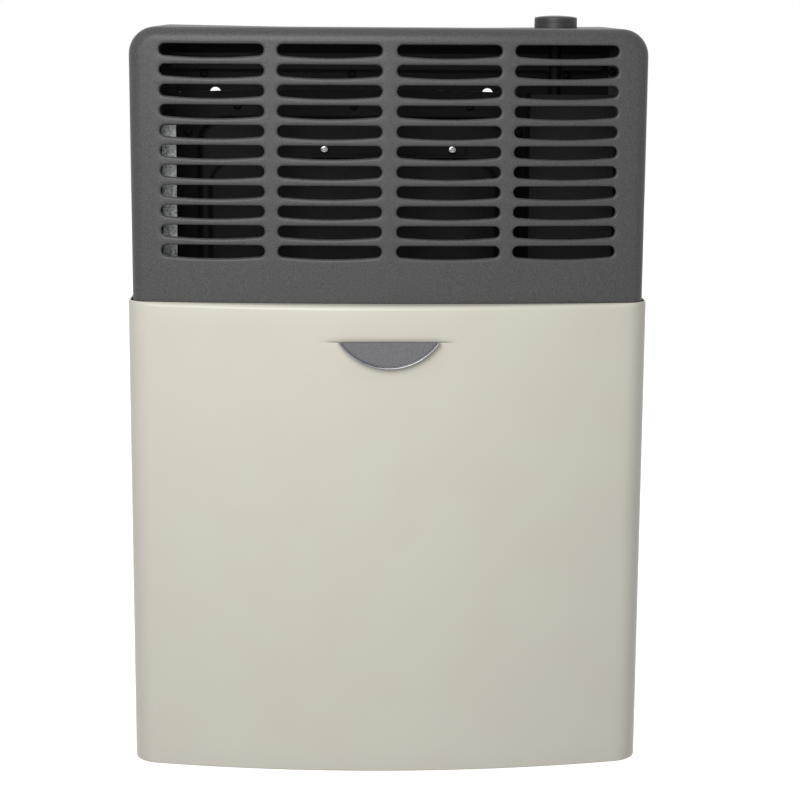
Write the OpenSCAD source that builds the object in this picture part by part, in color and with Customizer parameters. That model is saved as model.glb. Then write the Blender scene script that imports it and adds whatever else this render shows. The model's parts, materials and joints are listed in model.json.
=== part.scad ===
// Wall mounted gas heater with a room-sealed burner: a bowed, slotted upper casing, a bowed
// lower front panel that pulls off, and a pressed heat exchanger on a back plate.
// X runs to the right, Y runs into the wall and Z runs up. The wall plane is y = 0,
// the middle of the casing is x = 0 and the bottom edge of the front panel is z = 0.

/* [Casing] */
// Width of the upper casing
casing_w = 429; // [400:1:460]
// Depth of the upper casing at its middle, from the wall
casing_depth = 174; // [160:1:178]
// Height of the casing top above the panel's bottom edge
casing_top = 630; // [620:1:660]
// Height of the casing's lower edge, behind the front panel
casing_bottom = 380; // [350:1:392]
// Radius of the casing's bowed front, seen from above
casing_bow_r = 1840; // [1400:10:2400]
// Radius of the casing's front vertical edges
casing_side_r = 10; // [6:1:14]
// Radius of the casing's two top corners, seen from the front
casing_corner_r = 22.5; // [14:0.5:28]
// Radius of the casing's top front edge
casing_edge_r = 12; // [6:1:16]
// Thickness of the casing sheet
casing_t = 1.0; // [0.8:0.1:1.5]
// Width of the casing's rear fixing flanges
casing_flange_w = 14; // [12:1:18]
// Distance from the casing's lower edge to its lowest screws
casing_screw_low = 20; // [12:1:30]
// Distance from the casing's top to its highest screws
casing_screw_high = 40; // [34:1:60]

/* [Grille] */
// Number of slot rows
slot_rows = 11; // [4:1:11]
// Distance from the casing's top down to the middle of the top row of slots
slot_top_drop = 18.9; // [18:0.1:30]
// Distance from one slot row to the next
slot_pitch = 16.5; // [14:0.1:17]
// Height of a slot at its ends
slot_h = 9.4; // [6:0.1:10]
// Extra height of a slot at its middle, where its lower edge dips
slot_dip = 1.7; // [0.5:0.1:2]
// Radius of the slot's corners
slot_r = 4.5; // [2:0.1:4.6]
// Length of a slot
slot_len = 85.8; // [70:0.1:88]
// Distance from the middle to the centre of the inner slots
inner_slot_x = 49.1; // [46:0.1:52]
// Distance from the middle to the centre of the outer slots
outer_slot_x = 145.9; // [140:0.1:150]

/* [Front panel] */
// How far the front panel's sides stand out past the casing's sides
panel_overhang = 4.2; // [3.6:0.1:12]
// Depth of the front panel at its middle, from the wall
panel_depth = 190; // [182:1:210]
// Height of the front panel
panel_h = 403.9; // [396:0.1:420]
// Radius of the panel's bowed front, seen from above
panel_bow_r = 926; // [880:2:1200]
// Radius of the panel's front vertical edges
panel_side_r = 24; // [14:1:30]
// Radius of the panel's folded top edge
panel_edge_r = 4; // [2:0.5:6]
// Thickness of the panel sheet
panel_t = 1.0; // [0.8:0.1:1.5]
// Gap between the panel's top flange and the casing
panel_gap = 2.5; // [1.5:0.1:4]
// Distance from the wall to the panel's rear edges
panel_back = 4; // [2:1:10]
// Width of the panel's bottom flange
panel_flange_w = 14; // [8:1:20]
// Height of the lower stiffener inside the panel
lower_stiffener_z = 62; // [50:1:90]
// Height of the upper stiffener inside the panel
upper_stiffener_z = 338; // [300:1:340]
// Height of a stiffener
stiffener_h = 26; // [20:1:34]
// Depth of a stiffener
stiffener_d = 9; // [6:1:12]
// Thickness of the stiffener sheet
stiffener_t = 1.0; // [0.8:0.1:1.5]
// How far a stiffener reaches past the middle of its studs, across
stiffener_reach = 7.4; // [6:0.1:8]
// Height of the two lips of a stiffener that lie on the panel
stiffener_lip_h = 6; // [4:0.5:8]
// Distance from the side rails' outer faces to the middle of the panel's studs
stud_inset = 7.1; // [6.6:0.1:8.6]
// Radius of a panel stud
stud_r = 3; // [2:0.1:3.2]
// Radius of a stud's base
stud_base_r = 5; // [4:0.5:6]
// Wall of the catches that hold the studs
catch_wall = 1.2; // [0.8:0.1:1.4]
// Thickness of a catch's flanges
catch_flange_t = 1.4; // [1:0.1:2]
// Length of stud that shows behind the rail
stud_tip = 5; // [3:1:10]

/* [Finger pull] */
// Width of the half-moon pull across its straight top
pull_w = 84.6; // [70:0.2:96]
// Height of the half-moon pull
pull_h = 22.6; // [16:0.2:28]
// Height of the straight top of the pull
pull_top_z = 374.4; // [370:0.2:378]
// How far the pull's rim stands in front of the panel
pull_proud = 6.5; // [3:0.1:8]
// Width of the pull's rim
pull_rim_w = 2.4; // [1.5:0.1:4]
// How far the plate lies below the rim's front
pull_recess = 1.6; // [0.5:0.1:2]
// Radius of the pull's fixing pegs
peg_r = 2.4; // [1.5:0.1:3]
// Distance between the pull's fixing pegs
peg_spacing = 44; // [30:1:50]
// Distance from the pull's straight top to its pegs
peg_drop = 7.9; // [7:0.1:9]
// Length of peg behind the panel's front
peg_len = 5; // [4:0.5:6]

/* [Back plate and frame] */
// Distance from the casing's sides to the back plate's edges
plate_side_gap = 7.5; // [5.5:0.5:10.5]
// Height of the base tray above the lower edges of back plate and panel
tray_z = 24; // [20:1:30]
// Width of solid tray at the front and the back of its air opening
tray_border = 16; // [14:1:24]
// Width of solid tray at the left of its air opening
tray_side_border = 26; // [20:1:40]
// Distance from the gas inlet's middle to the tray's air opening
tray_inlet_land = 31.4; // [24:0.2:40]
// Height of the tray's rear flange
tray_flange_h = 16; // [10:1:20]
// Distance from the casing's top down to the back plate's upper edge
plate_top_drop = 4; // [3:1:12]
// Radius of the back plate's corners
plate_corner_r = 16; // [8:1:20]
// Thickness of the back plate and frame sheet
sheet_t = 1.2; // [1:0.1:1.6]
// Radius of the wall fixing holes
fixing_r = 5; // [3:0.1:5.5]
// Distance between the wall fixing holes, across
fixing_dx = 244; // [230:1:250]
// Distance from the back plate's upper edge down to the upper wall fixing holes
fixing_top_drop = 56; // [51:1:66]
// Height of the lower wall fixing holes
fixing_bottom_z = 62; // [50:1:90]
// Distance from the casing's sides to the outer faces of the side rails
rail_side_gap = 23.9; // [22.5:0.1:25]
// Depth of the side rails from the wall
rail_depth = 126; // [122:1:130]
// Distance from the casing's top down to the side rails' top
rail_top_drop = 82; // [74:1:90]
// Width of the side rails' front flanges
rail_front_w = 12; // [11:0.5:14]
// Width of the side rails' rear flanges
rail_rear_w = 16; // [12:1:20]
// Depth of the shelf at the top of the back plate
shelf_d = 30; // [20:1:40]
// Distance from the back plate's upper edge down to the shelf
shelf_drop = 34; // [32:1:38]
// Height of the shelf's front lip
shelf_lip = 14; // [8:1:16]
// Height of the shelf's rear flange
shelf_flange_h = 12; // [10:1:14]
// Distance from the shelf down to its screws
shelf_screw_drop = 5; // [4.5:0.5:6]
// Distance from the shelf's outer screws to the rail screws, across
shelf_screw_inset = 20; // [10:1:40]
// Distance from the tray to the lowest rail screws
rail_screw_low = 60; // [50:1:70]
// Distance from the rails' top to the highest rail screws
rail_screw_high = 30; // [20:1:40]

/* [Heat exchanger] */
// Distance from the casing's left side to the exchanger
exchanger_left_gap = 32; // [31:1:38]
// Gap between the exchanger and the gas valve beside it
exchanger_valve_gap = 0.6; // [0.4:0.1:8]
// Height of the exchanger's lower edge
exchanger_bottom = 110; // [100:1:120]
// Distance from the casing's top down to the exchanger's upper corners
exchanger_top_drop = 56.4; // [52:0.2:70]
// Rise of the exchanger's upper edge at its middle
exchanger_crown = 3.2; // [1:0.1:6]
// Width of the exchanger's joint flange
joint_w = 22; // [18:1:26]
// Thickness of the exchanger's shells
shell_t = 1.5; // [1.2:0.1:2]
// Distance from the wall to the front of the front shell
shell_front = 125; // [120:1:125]
// Distance from the wall to the front shell's joint
joint_y = 80; // [79:1:84]
// Distance from the wall to the back of the rear shell
shell_back = 34; // [30:1:38]
// Thickness of the joint gasket
gasket_t = 2; // [1.5:0.1:3]
// Corner radius of the shells, seen from the front
shell_r = 20; // [12:1:30]
// Corner radius of the joint flange, seen from the front
joint_r = 12; // [6:1:16]
// Distance from the exchanger's lower edge to its lowest side screws
joint_screw_low = 50; // [40:1:60]
// Distance from one side screw of the joint to the next
joint_screw_pitch = 95; // [80:1:110]
// Distance between the joint's upper and lower screws, across
joint_screw_dx = 100; // [80:1:110]
// Number of upright ribs pressed in the front shell
rib_count = 4; // [2:1:4]
// Distance from one rib to the next
rib_pitch = 66; // [60:1:68]
// Width of a rib
rib_w = 30; // [20:1:40]
// How far a rib stands out
rib_d = 4; // [2:0.5:5]
// Height of a rib's lower end
rib_bottom = 206; // [200:1:260]
// Distance from the exchanger's upper corners down to the ribs' upper ends
rib_top_drop = 140; // [110:1:160]
// Place of the brace's left end, from the exchanger's middle
brace_left = -36; // [-60:1:-30]
// Width of the brace across the front shell
brace_w = 130; // [124:1:150]
// Distance from the exchanger's upper corners down to the brace's lower edge
brace_drop = 51.6; // [49.6:0.2:57.6]
// Height of the brace
brace_h = 13; // [12:1:16]
// Depth of the brace's folded lower edge
brace_fold_d = 6; // [4:0.5:8]
// Distance between the brace's screws
brace_screw_dx = 108; // [100:1:110]

/* [Flue and air duct] */
// Place of the flue's middle, across
flue_x = -30.5; // [-36:0.5:-24]
// Distance from the air duct's upper edge down to the flue's middle
flue_drop = 80; // [74:1:100]
// Inner radius of the flue collar
flue_r = 38.8; // [34:0.1:42]
// Inner radius of the air intake collar
intake_r = 64; // [58:0.5:66]
// Wall thickness of the collars
collar_t = 1.2; // [1:0.1:1.5]
// Clearance of the flue collar in its flange
flange_fit = 0.1; // [0.05:0.05:0.3]
// Width of the collars' flanges
collar_flange_w = 9; // [6:0.5:9]
// Depth of the intake collar in front of the wall
intake_depth = 14; // [10:1:20]
// Width of the air duct
duct_w = 160; // [156:1:166]
// Height of the air duct's lower edge
duct_bottom = 126; // [120:1:130]
// Distance from the back plate's upper edge down to the air duct's upper edge
duct_top_drop = 106; // [102:1:110]
// Width of the air hole between duct and exchanger
air_hole_w = 100; // [80:1:110]
// Height of the air hole's lower edge
air_hole_bottom = 142; // [140:1:150]
// Height of the air hole
air_hole_h = 24; // [16:1:28]
// Border of the air hole's gasket
air_gasket_w = 8; // [6:1:8]
// Distance from the duct's ends to its outer screws
duct_screw_end = 20; // [16:1:30]
// Distance from the duct's middle down to its middle screws
duct_screw_drop = 30; // [24:1:40]
// Width of the duct's fixing flange
duct_flange_w = 10; // [9:0.5:11]

/* [Burner] */
// Outer radius of the burner tube
burner_r = 14; // [12:0.5:14]
// Height of the burner tube's middle
burner_z = 164; // [163:1:168]
// Distance from the wall to the burner tube's middle
burner_y = 57; // [56:0.5:58]
// Place of the burner tube's closed end
burner_start = -140; // [-145:1:-120]
// Place of the burner tube's open end
burner_end = 32; // [31:1:36]
// Wall thickness of the burner tube
burner_t = 1.2; // [1:0.1:1.5]
// Number of flame ports
port_count = 28; // [12:1:28]
// Width of a flame port
port_w = 1.4; // [1:0.1:2]
// Distance between flame ports
port_pitch = 5; // [4:0.5:5]
// Place of the first flame port, from the closed end
port_start = 12; // [8:1:16]
// Radius of the mixing tube's throat
throat_r = 7; // [6:0.5:9]
// Radius of the mixing tube's mouth
mouth_r = 11; // [9:0.5:12]
// Length of the mixing tube outside the burner
mixer_len = 34; // [30:1:36]
// Length of the mixing tube inside the burner
mixer_seat = 12; // [8:1:16]
// Distance from the mixing tube's mouth to the injector holder
jet_gap = 16; // [15:0.5:18]
// Length of the injector
injector_len = 12; // [10:0.5:13]
// Radius of the gas jet
jet_r = 0.8; // [0.6:0.1:1.2]
// Radius of the injector holder
holder_r = 8; // [7:0.5:9]
// Length of the injector holder outside the exchanger
holder_reach = 9.5; // [8:0.5:12]
// Distance from the burner's ends to its saddles
saddle_inset = 12; // [8:1:20]
// Thickness of the burner saddles
saddle_t = 2; // [1.5:0.1:3]

/* [Pilot] */
// Place of the pilot burner, across
pilot_x = 35; // [32:1:38]
// Distance from one pilot piece to the next
pilot_pitch = 15; // [14:0.5:16]
// Distance from the wall to the pilot pieces
pilot_y = 84; // [82:0.5:86]
// Radius of the pilot burner
pilot_r = 5; // [4:0.5:5]
// Radius of the thermocouple
thermocouple_r = 3; // [2:0.5:3.5]
// Radius of the electrode's ceramic
ceramic_r = 4; // [3:0.5:4.5]
// Height of the pilot shelf above the lead run
pilot_shelf_rise = 12; // [10:1:14]
// Height of the pilot burner above its shelf
pilot_h = 26; // [24:1:30]
// Height of the thermocouple above the pilot shelf
thermocouple_h = 28; // [22:1:30]
// Height of the electrode's ceramic above the pilot shelf
ceramic_h = 20; // [16:1:24]
// Height of the pilot bracket's upright plate
pilot_plate_h = 24; // [18:1:30]
// Thickness of the pilot bracket
pilot_plate_t = 1.5; // [1:0.1:2]
// Border of the pilot shelf around its pieces
pilot_border = 4; // [3:0.5:5]
// Height of the run of leads and tubes under the burner
lead_z = 141; // [140:1:142]

/* [Sight glass] */
// Height of the sight glass
sight_z = 172; // [168:1:176]
// Radius of the sight opening
sight_r = 12; // [8:0.5:14]
// Radius of the sight glass
glass_r = 18; // [16:0.5:20]
// Thickness of the sight glass
glass_t = 3; // [2:0.5:4]
// Thickness of the sight gasket
sight_gasket_t = 1.2; // [1:0.1:2]
// Width of the sight frame around the glass
sight_frame_w = 4; // [3:0.5:6]

/* [Controls] */
// Distance from the casing's right side to the middle of the control knob
knob_side_gap = 72.9; // [69.5:0.1:76.5]
// Distance from the wall to the control knob
knob_y = 105; // [102:1:108]
// Radius of the control knob
knob_r = 18; // [15:0.5:19]
// Height of the knob's rim above the casing top
knob_rise = 9; // [7:0.5:14]
// Rise of the domed knob cap above the rim
cap_rise = 1.4; // [0.5:0.1:3]
// Gap between the knob and the hole in the casing
knob_gap = 0.9; // [0.6:0.1:1.5]
// Number of flutes around the knob
flute_count = 30; // [20:1:36]
// Depth of a flute
flute_d = 0.5; // [0.3:0.1:0.8]
// Depth of the knob below the casing top
knob_skirt = 4; // [3:0.5:5]
// Travel of the knob when it is pressed
press_travel = 5; // [3:0.5:5]
// Radius of the valve spindle
spindle_r = 5; // [4:0.1:5.5]
// Clearance of the spindle in its bores
spindle_fit = 0.05; // [0.02:0.01:0.1]
// Width of the valve body
valve_w = 33; // [30:1:38]
// Depth of the valve body
valve_d = 48; // [46:1:50]
// How far the valve body reaches in front of the knob's axis
valve_lead = 13; // [12:0.5:14]
// Distance from the casing's top down to the valve body's underside
valve_drop = 150; // [144:1:152]
// Height of the valve body
valve_h = 55; // [50:1:56]
// Radius of the valve's top boss
boss_r = 7.2; // [6.5:0.1:7.4]
// Height of the valve's top boss
boss_h = 13; // [8:1:14]
// Radius of the return spring's coil
spring_r = 8.5; // [8.4:0.1:9.5]
// Radius of the return spring's wire
wire_r = 0.7; // [0.4:0.1:0.8]
// Length of the return spring
spring_len = 26; // [24:1:30]
// Number of turns of the return spring
spring_turns = 6; // [4:1:8]
// Radius of the igniter body
igniter_r = 8; // [6:0.5:8]
// Length of the igniter body under its flange
igniter_len = 34; // [25:1:40]
// Distance from the knob to the igniter, across
igniter_dx = 32; // [31:1:33]
// Radius of the igniter's plunger
plunger_r = 3.5; // [2:0.1:4]
// Thickness of the igniter's flange
igniter_flange_h = 3; // [2:0.5:4]
// Thickness of the pressed collar
collar_h = 4; // [3:0.5:5]
// Radius of the knob's cap
cap_r = 15.4; // [10:0.1:15.5]
// Height of the lower edge of the shield in front of the controls
shield_bottom = 150; // [120:1:180]
// Distance from the casing's top down to the shield's upper edge
shield_top_drop = 55; // [40:1:80]

/* [Pipes and leads] */
// Outer radius of the gas inlet pipe
inlet_pipe_r = 6; // [5:0.5:6]
// Outer radius of the burner pipe
burner_pipe_r = 4; // [3:0.5:4]
// Outer radius of the pilot tube
pilot_tube_r = 2; // [1.5:0.1:2.2]
// Radius of the thermocouple lead
thermo_lead_r = 1.3; // [1:0.1:1.6]
// Radius of the ignition lead
spark_lead_r = 2.2; // [1.5:0.1:2.5]
// Radius of the thermostat capillary
capillary_r = 0.9; // [0.8:0.1:1.2]
// Radius of the thermostat bulb
bulb_r = 4; // [3:0.5:4.5]
// Length of the thermostat bulb
bulb_len = 70; // [50:1:80]
// Place of the thermostat bulb's left end, across
bulb_start = 60; // [50:1:62]
// Gap between the thermostat bulb and the base tray
bulb_rise = 4; // [3:0.5:6]
// Wall thickness of the gas pipes
pipe_t = 1; // [0.6:0.1:1]
// Radius of the gas inlet's male thread
inlet_r = 10.48; // [8:0.01:11]
// Length of the gas inlet's male thread
inlet_len = 21; // [16:1:22]
// Distance from the right side rail's outer face to the middle of the gas inlet
inlet_side_gap = 30.6; // [29.6:0.1:32.6]
// Distance from the valve's underside down to the pipes' upper bends
bend_drop = 40; // [38:1:60]
// Distance from the shield's folded side to the pilot tube's riser
pilot_riser_gap = 11; // [10:0.5:13]
// Distance from the shield's folded side to the thermocouple lead's riser
thermo_riser_gap = 30.5; // [29:0.5:32]
// Distance from the wall to the gas inlet
inlet_y = 60; // [59:1:62]
// Height of the gas union above the base tray
union_h = 20; // [16:1:24]
// Height of the gas union's hexagon
union_hex_h = 8; // [6:0.5:10]
// Height of a union nut under the valve
nut_h = 10; // [8:0.5:12]

/* [Fasteners and fits] */
// Radius of a sheet screw's shank
screw_r = 1.8; // [1.5:0.1:2]
// Radius of a sheet screw's head
screw_head_r = 3.6; // [3:0.1:4]
// Height of a sheet screw's head
screw_head_h = 2.4; // [1.5:0.1:3]
// Clearance around a screw's shank
screw_gap = 0.25; // [0.1:0.05:0.4]
// Clearance of parts that are seated in one another
seat_gap = 0.3; // [0.1:0.05:0.4]

/* [Hidden] */

$fn = 64;
bow_fn = 1440;
elbow_swell = 1.06;
edge_ease = 0.03;
cut = 1;

casing_side = casing_w / 2;
panel_w = casing_w + 2 * panel_overhang;
plate_w = casing_w - 2 * plate_side_gap;
plate_top = casing_top - plate_top_drop;
shelf_z = plate_top - shelf_drop;
fixing_top_z = plate_top - fixing_top_drop;
rail_x = casing_side - rail_side_gap;
rail_top = casing_top - rail_top_drop;
stud_x = rail_x - stud_inset;
slot_top_z = casing_top - slot_top_drop;
knob_x = casing_side - knob_side_gap;
valve_bottom = casing_top - valve_drop;
valve_left = knob_x - valve_w / 2;
exchanger_left = exchanger_left_gap - casing_side;
exchanger_right = valve_left - exchanger_valve_gap;
exchanger_w = exchanger_right - exchanger_left;
exchanger_x = (exchanger_left + exchanger_right) / 2;
exchanger_top = casing_top - exchanger_top_drop;
rib_top = exchanger_top - rib_top_drop;
brace_z = exchanger_top - brace_drop;
duct_top = plate_top - duct_top_drop;
flue_z = duct_top - flue_drop;
shield_top = casing_top - shield_top_drop;
inlet_x = rail_x - inlet_side_gap;
shell_right = exchanger_right - joint_w;
rear_joint_y = joint_y - gasket_t;
duct_front = shell_back - shell_t;
knob_z = casing_top + knob_rise;
valve_top = valve_bottom + valve_h;
spring_z = valve_top + seat_gap;
collar_z = spring_z + spring_len + seat_gap;
igniter_x = knob_x + igniter_dx;
tray_top = tray_z + sheet_t;
catch_r = stud_r + seat_gap + catch_wall;
bulb_y = rail_depth - 8;
bulb_z = tray_top + bulb_r + bulb_rise;
catch_gap = 0.1;
catch_lip = 0.9;
tab_z = valve_top - 4;
spindle_bottom = valve_bottom + 25;
spindle_top = knob_z - 5;
plunger_bottom = tab_z;
cap_t = 1;
port_wall = 2.5;
union_top = tray_top + union_h;
holder_x = burner_end + mixer_len + jet_gap;
holder_end = shell_right + holder_reach;
lead_end_z = lead_z + 5;
valve_back = knob_y + valve_lead - valve_d;
foot_w = 12;
valve_leg_x = valve_left + valve_w + foot_w;
valve_legs = [[valve_left, valve_left], [valve_leg_x, valve_leg_x + sheet_t - foot_w]];
valve_foot_places = [for (leg = valve_legs) for (z = [15, 35])
    [leg[1] + foot_w / 2, valve_bottom + z]];
duct_screw_places = [for (side = [-1, 1]) for (z = [duct_bottom + duct_screw_end,
    (duct_bottom + duct_top) / 2 - duct_screw_drop, duct_top - duct_screw_end])
    [flue_x + side * (duct_w + duct_flange_w) / 2, z]];
brace_middle = exchanger_x + brace_left + brace_w / 2;
brace_screw_places = [for (side = [-1, 1])
    [brace_middle + side * brace_screw_dx / 2, brace_z + brace_h / 2]];
crown_r = (pow(exchanger_w / 2, 2) + pow(exchanger_crown, 2)) / (2 * exchanger_crown);
dip_half = slot_len / 2 - slot_r;
dip_r = (pow(dip_half, 2) + pow(slot_dip, 2)) / (2 * slot_dip);
slot_places = [for (row = [0:slot_rows - 1]) for (x = [-outer_slot_x, -inner_slot_x, inner_slot_x,
    outer_slot_x]) [x, slot_top_z - row * slot_pitch]];
pull_arc_r = (pow(pull_w / 2, 2) + pow(pull_h, 2)) / (2 * pull_h);
fixing_places = [for (x = [-fixing_dx / 2, fixing_dx / 2]) for (z = [fixing_bottom_z, fixing_top_z])
    [flue_x + x, z]];
rail_screw_x = rail_x - rail_rear_w / 2;
rail_screw_places = [for (x = [-rail_screw_x, rail_screw_x]) for (z = [tray_z + rail_screw_low,
    rail_top / 2, rail_top - rail_screw_high]) [x, z]];
shelf_screw_x = rail_screw_x - shelf_screw_inset;
shelf_screw_places = [for (x = [-shelf_screw_x, flue_x, shelf_screw_x])
    [x, shelf_z - shelf_screw_drop]];
chassis_screw_places = concat(rail_screw_places, shelf_screw_places);
casing_screw_x = casing_side - casing_flange_w + screw_head_r;
casing_screw_places = [for (x = [-casing_screw_x, casing_screw_x])
    for (z = [casing_bottom + casing_screw_low, (casing_bottom + casing_top) / 2,
    casing_top - casing_screw_high]) [x, z]];
side_joint_x = exchanger_w / 2 - joint_w / 2;
joint_screw_places = concat(
    [for (x = [-side_joint_x, side_joint_x])
        for (z = [exchanger_bottom + joint_screw_low:joint_screw_pitch:exchanger_top - joint_w])
        [exchanger_x + x, z]],
    [for (x = [-joint_screw_dx, 0, joint_screw_dx])
        for (z = [exchanger_bottom + joint_w / 2, exchanger_top - joint_w / 2])
        [exchanger_x + x, z]]);
stud_places = [for (x = [-stud_x, stud_x]) for (z = [lower_stiffener_z, upper_stiffener_z]) [x, z]];
peg_places = [for (x = [-peg_spacing / 2, peg_spacing / 2]) [x, pull_top_z - peg_drop]];
stiffener_r = panel_bow_r - panel_t - seat_gap;
stiffener_back_r = stiffener_r - stiffener_d;
stiffener_half_angle = asin((stud_x + stiffener_reach) / panel_bow_r);
stud_seat = panel_depth - panel_bow_r - seat_gap / 2
    + sqrt(pow(stiffener_back_r, 2) - pow(stud_x + stud_base_r, 2));
spark_y = shell_back + 16;
pilot_line_y = spark_y + 10;
thermo_y = pilot_line_y + 10;
thermocouple_x = pilot_x + pilot_pitch;
electrode_x = pilot_x - pilot_pitch;
shelf_top_z = lead_z + pilot_shelf_rise;
tip_z = shelf_top_z + 8;
shield_left = shell_right + 17;
valve_ports = [[knob_x - 4.6, knob_y - 21, burner_pipe_r], [knob_x + 9.6, knob_y - 5, inlet_pipe_r],
    [knob_x - 10.1, knob_y + 4, pilot_tube_r], [knob_x - 1.6, knob_y + 5, thermo_lead_r],
    [knob_x + 10.4, knob_y + 9.5, capillary_r]];
port_h = 8;
bend_z = valve_bottom - bend_drop;

// Extrudes an outline drawn in X and Z between two distances from the wall.
module from_wall(near, far) {
    translate([0, -near, 0]) rotate([90, 0, 0]) linear_extrude(far - near) children();
}

// A rod that lies along X from one end to the other.
module along_x(x0, x1, r, y, z) {
    translate([x0, -y, z]) rotate([0, 90, 0]) cylinder(h = x1 - x0, r = r);
}

// Rectangle with rounded corners, from its left and lower edge to its right and upper edge.
module round_rect(left, bottom, right, top, r) {
    translate([left, bottom + r]) square([right - left, top - bottom - 2 * r]);
    translate([left + r, bottom]) square([right - left - 2 * r, top - bottom]);
    for (x = [left + r, right - r]) for (z = [bottom + r, top - r]) translate([x, z]) circle(r);
}

// Ring between two radii.
module ring(inner, outer) {
    difference() {
        circle(outer);
        circle(inner);
    }
}

// Outline seen from above of a box with a bowed front and rounded front corners. The roundings
// meet the front and the sides at a very slight angle.
module bowed_plan(w, front, bow_r, side_r, back) {
    bow_y = bow_r - front;
    corner_x = w / 2 - side_r;
    corner_y = bow_y - sqrt(pow(bow_r - side_r, 2) - pow(corner_x, 2));
    tangent_x = corner_x * bow_r / (bow_r - side_r);
    intersection() {
        translate([-w / 2, -front - cut]) square([w, front + cut - back]);
        union() {
            intersection() {
                translate([0, bow_y]) circle(bow_r, $fn = bow_fn);
                translate([-tangent_x, -front - cut]) square([2 * tangent_x, front + cut]);
            }
            translate([-w / 2 - cut, corner_y]) square([w + 2 * cut, cut - corner_y]);
            for (side = [-1, 1]) translate([side * (corner_x + edge_ease), corner_y - edge_ease])
                circle(side_r);
        }
    }
}

// Outline seen from the front of a box with rounded top corners.
module arch_outline(w, bottom, top, r) {
    translate([-w / 2 - cut, bottom]) square([w + 2 * cut, top - r - bottom]);
    translate([-w / 2 + r, bottom]) square([w - 2 * r, top - bottom]);
    for (side = [-1, 1]) translate([side * (w / 2 - r), top - r]) circle(r);
}

// What is cut away along the top front edge of a bowed box to round it. The rounding meets the
// faces at a very slight angle.
module bowed_edge_cut(w, front, bow_r, top, r) {
    half = asin((w / 2 + 10) / bow_r);
    translate([0, bow_r - front, 0]) rotate([0, 0, -90 - half])
        rotate_extrude(angle = 2 * half, $fn = bow_fn) difference() {
            translate([bow_r - r, top - r]) square(r + 10 * cut);
            translate([bow_r - r + edge_ease, top - r + edge_ease]) circle(r);
        }
}

// Solid box with a bowed front, rounded side edges, a rounded top front edge and round corners.
module bowed_box(w, front, bow_r, side_r, bottom, top, edge_r, corner_r, back) {
    difference() {
        intersection() {
            translate([0, 0, bottom]) linear_extrude(top - bottom + cut)
                bowed_plan(w, front, bow_r, side_r, back);
            from_wall(-2 * cut, front + 2 * cut) arch_outline(w, bottom - cut, top, corner_r);
        }
        bowed_edge_cut(w, front, bow_r, top, edge_r);
    }
}

// The same box as a sheet that is open at the back and below.
module bowed_shell(w, front, bow_r, side_r, bottom, top, edge_r, corner_r, back, t, floor_t) {
    difference() {
        bowed_box(w, front, bow_r, side_r, bottom, top, edge_r, corner_r, back);
        bowed_box(w - 2 * t, front - t, bow_r - t, side_r - t, bottom + floor_t, top - t, edge_r - t,
            corner_r - t, -cut);
    }
}

// Straight runs joined by round elbows, through a list of points.
module path(points, r) {
    for (i = [0:len(points) - 2]) {
        run = points[i + 1] - points[i];
        translate(points[i]) rotate([0, acos(run[2] / norm(run)), atan2(run[1], run[0])])
            cylinder(h = norm(run), r = r, $fn = 32);
    }
    for (i = [1:len(points) - 2]) translate(points[i]) sphere(r * elbow_swell, $fn = 32);
}

// A pipe along the same kind of list, with its bore open at both ends.
module pipe(points, r, wall) {
    last = len(points) - 1;
    first_run = points[1] - points[0];
    last_run = points[last] - points[last - 1];
    bore = concat([points[0] - cut * first_run / norm(first_run)], [for (i = [1:last - 1]) points[i]],
        [points[last] + cut * last_run / norm(last_run)]);
    difference() {
        path(points, r);
        path(bore, r - wall);
    }
}

// A screw that points at the wall, with its head seated at a distance from the wall.
module screw(place, seat, len) {
    translate([place[0], 0, place[1]]) {
        from_wall(seat, seat + screw_head_h) circle(screw_head_r);
        from_wall(seat - len, seat + screw_head_h / 2) circle(screw_r);
    }
}

// The holes for a list of screws, through everything between two distances from the wall.
module screw_holes(places, near, far) {
    for (place = places) translate([place[0], 0, place[1]])
        from_wall(near, far) circle(screw_r + screw_gap);
}

// Outline of one slot, with its lower edge dipped at the middle.
module slot_outline() {
    translate([0, slot_dip / 2]) {
        round_rect(-slot_len / 2, -slot_h / 2, slot_len / 2, slot_h / 2, slot_r);
        intersection() {
            translate([0, dip_r - slot_h / 2 - slot_dip]) circle(dip_r, $fn = bow_fn);
            translate([-dip_half, -slot_h]) square([2 * dip_half, slot_h]);
        }
    }
}

// Outline of the exchanger's joint, with its crowned upper edge.
module joint_outline() {
    intersection() {
        round_rect(exchanger_left, exchanger_bottom, exchanger_right, exchanger_top + exchanger_crown,
            joint_r);
        translate([exchanger_x, exchanger_top + exchanger_crown - crown_r])
            circle(crown_r, $fn = bow_fn);
    }
}

// Outline of the exchanger's shells, drawn in from their outside by a distance.
module shell_outline(inset) {
    round_rect(exchanger_left + joint_w + inset, exchanger_bottom + joint_w + inset,
        shell_right - inset, exchanger_top - joint_w - inset, shell_r - inset);
}

// Outline of the air hole, grown by a border.
module air_hole_outline(border) {
    translate([flue_x - air_hole_w / 2 - border, air_hole_bottom - border])
        square([air_hole_w + 2 * border, air_hole_h + 2 * border]);
}

// Outline of one upright rib with round ends, drawn in by a distance.
module rib_outline(x, inset) {
    end_r = rib_w / 2;
    translate([x - end_r + inset, rib_bottom + end_r])
        square([rib_w - 2 * inset, rib_top - rib_bottom - rib_w]);
    for (z = [rib_bottom + end_r, rib_top - end_r]) translate([x, z]) circle(end_r - inset);
}

// Outline of the half-moon pull, drawn in by a distance.
module pull_outline(inset) {
    intersection() {
        translate([0, pull_top_z - pull_h + pull_arc_r]) circle(pull_arc_r - inset, $fn = 180);
        translate([-pull_w, pull_top_z - 2 * pull_h]) square([2 * pull_w, 2 * pull_h - inset]);
    }
}

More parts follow.
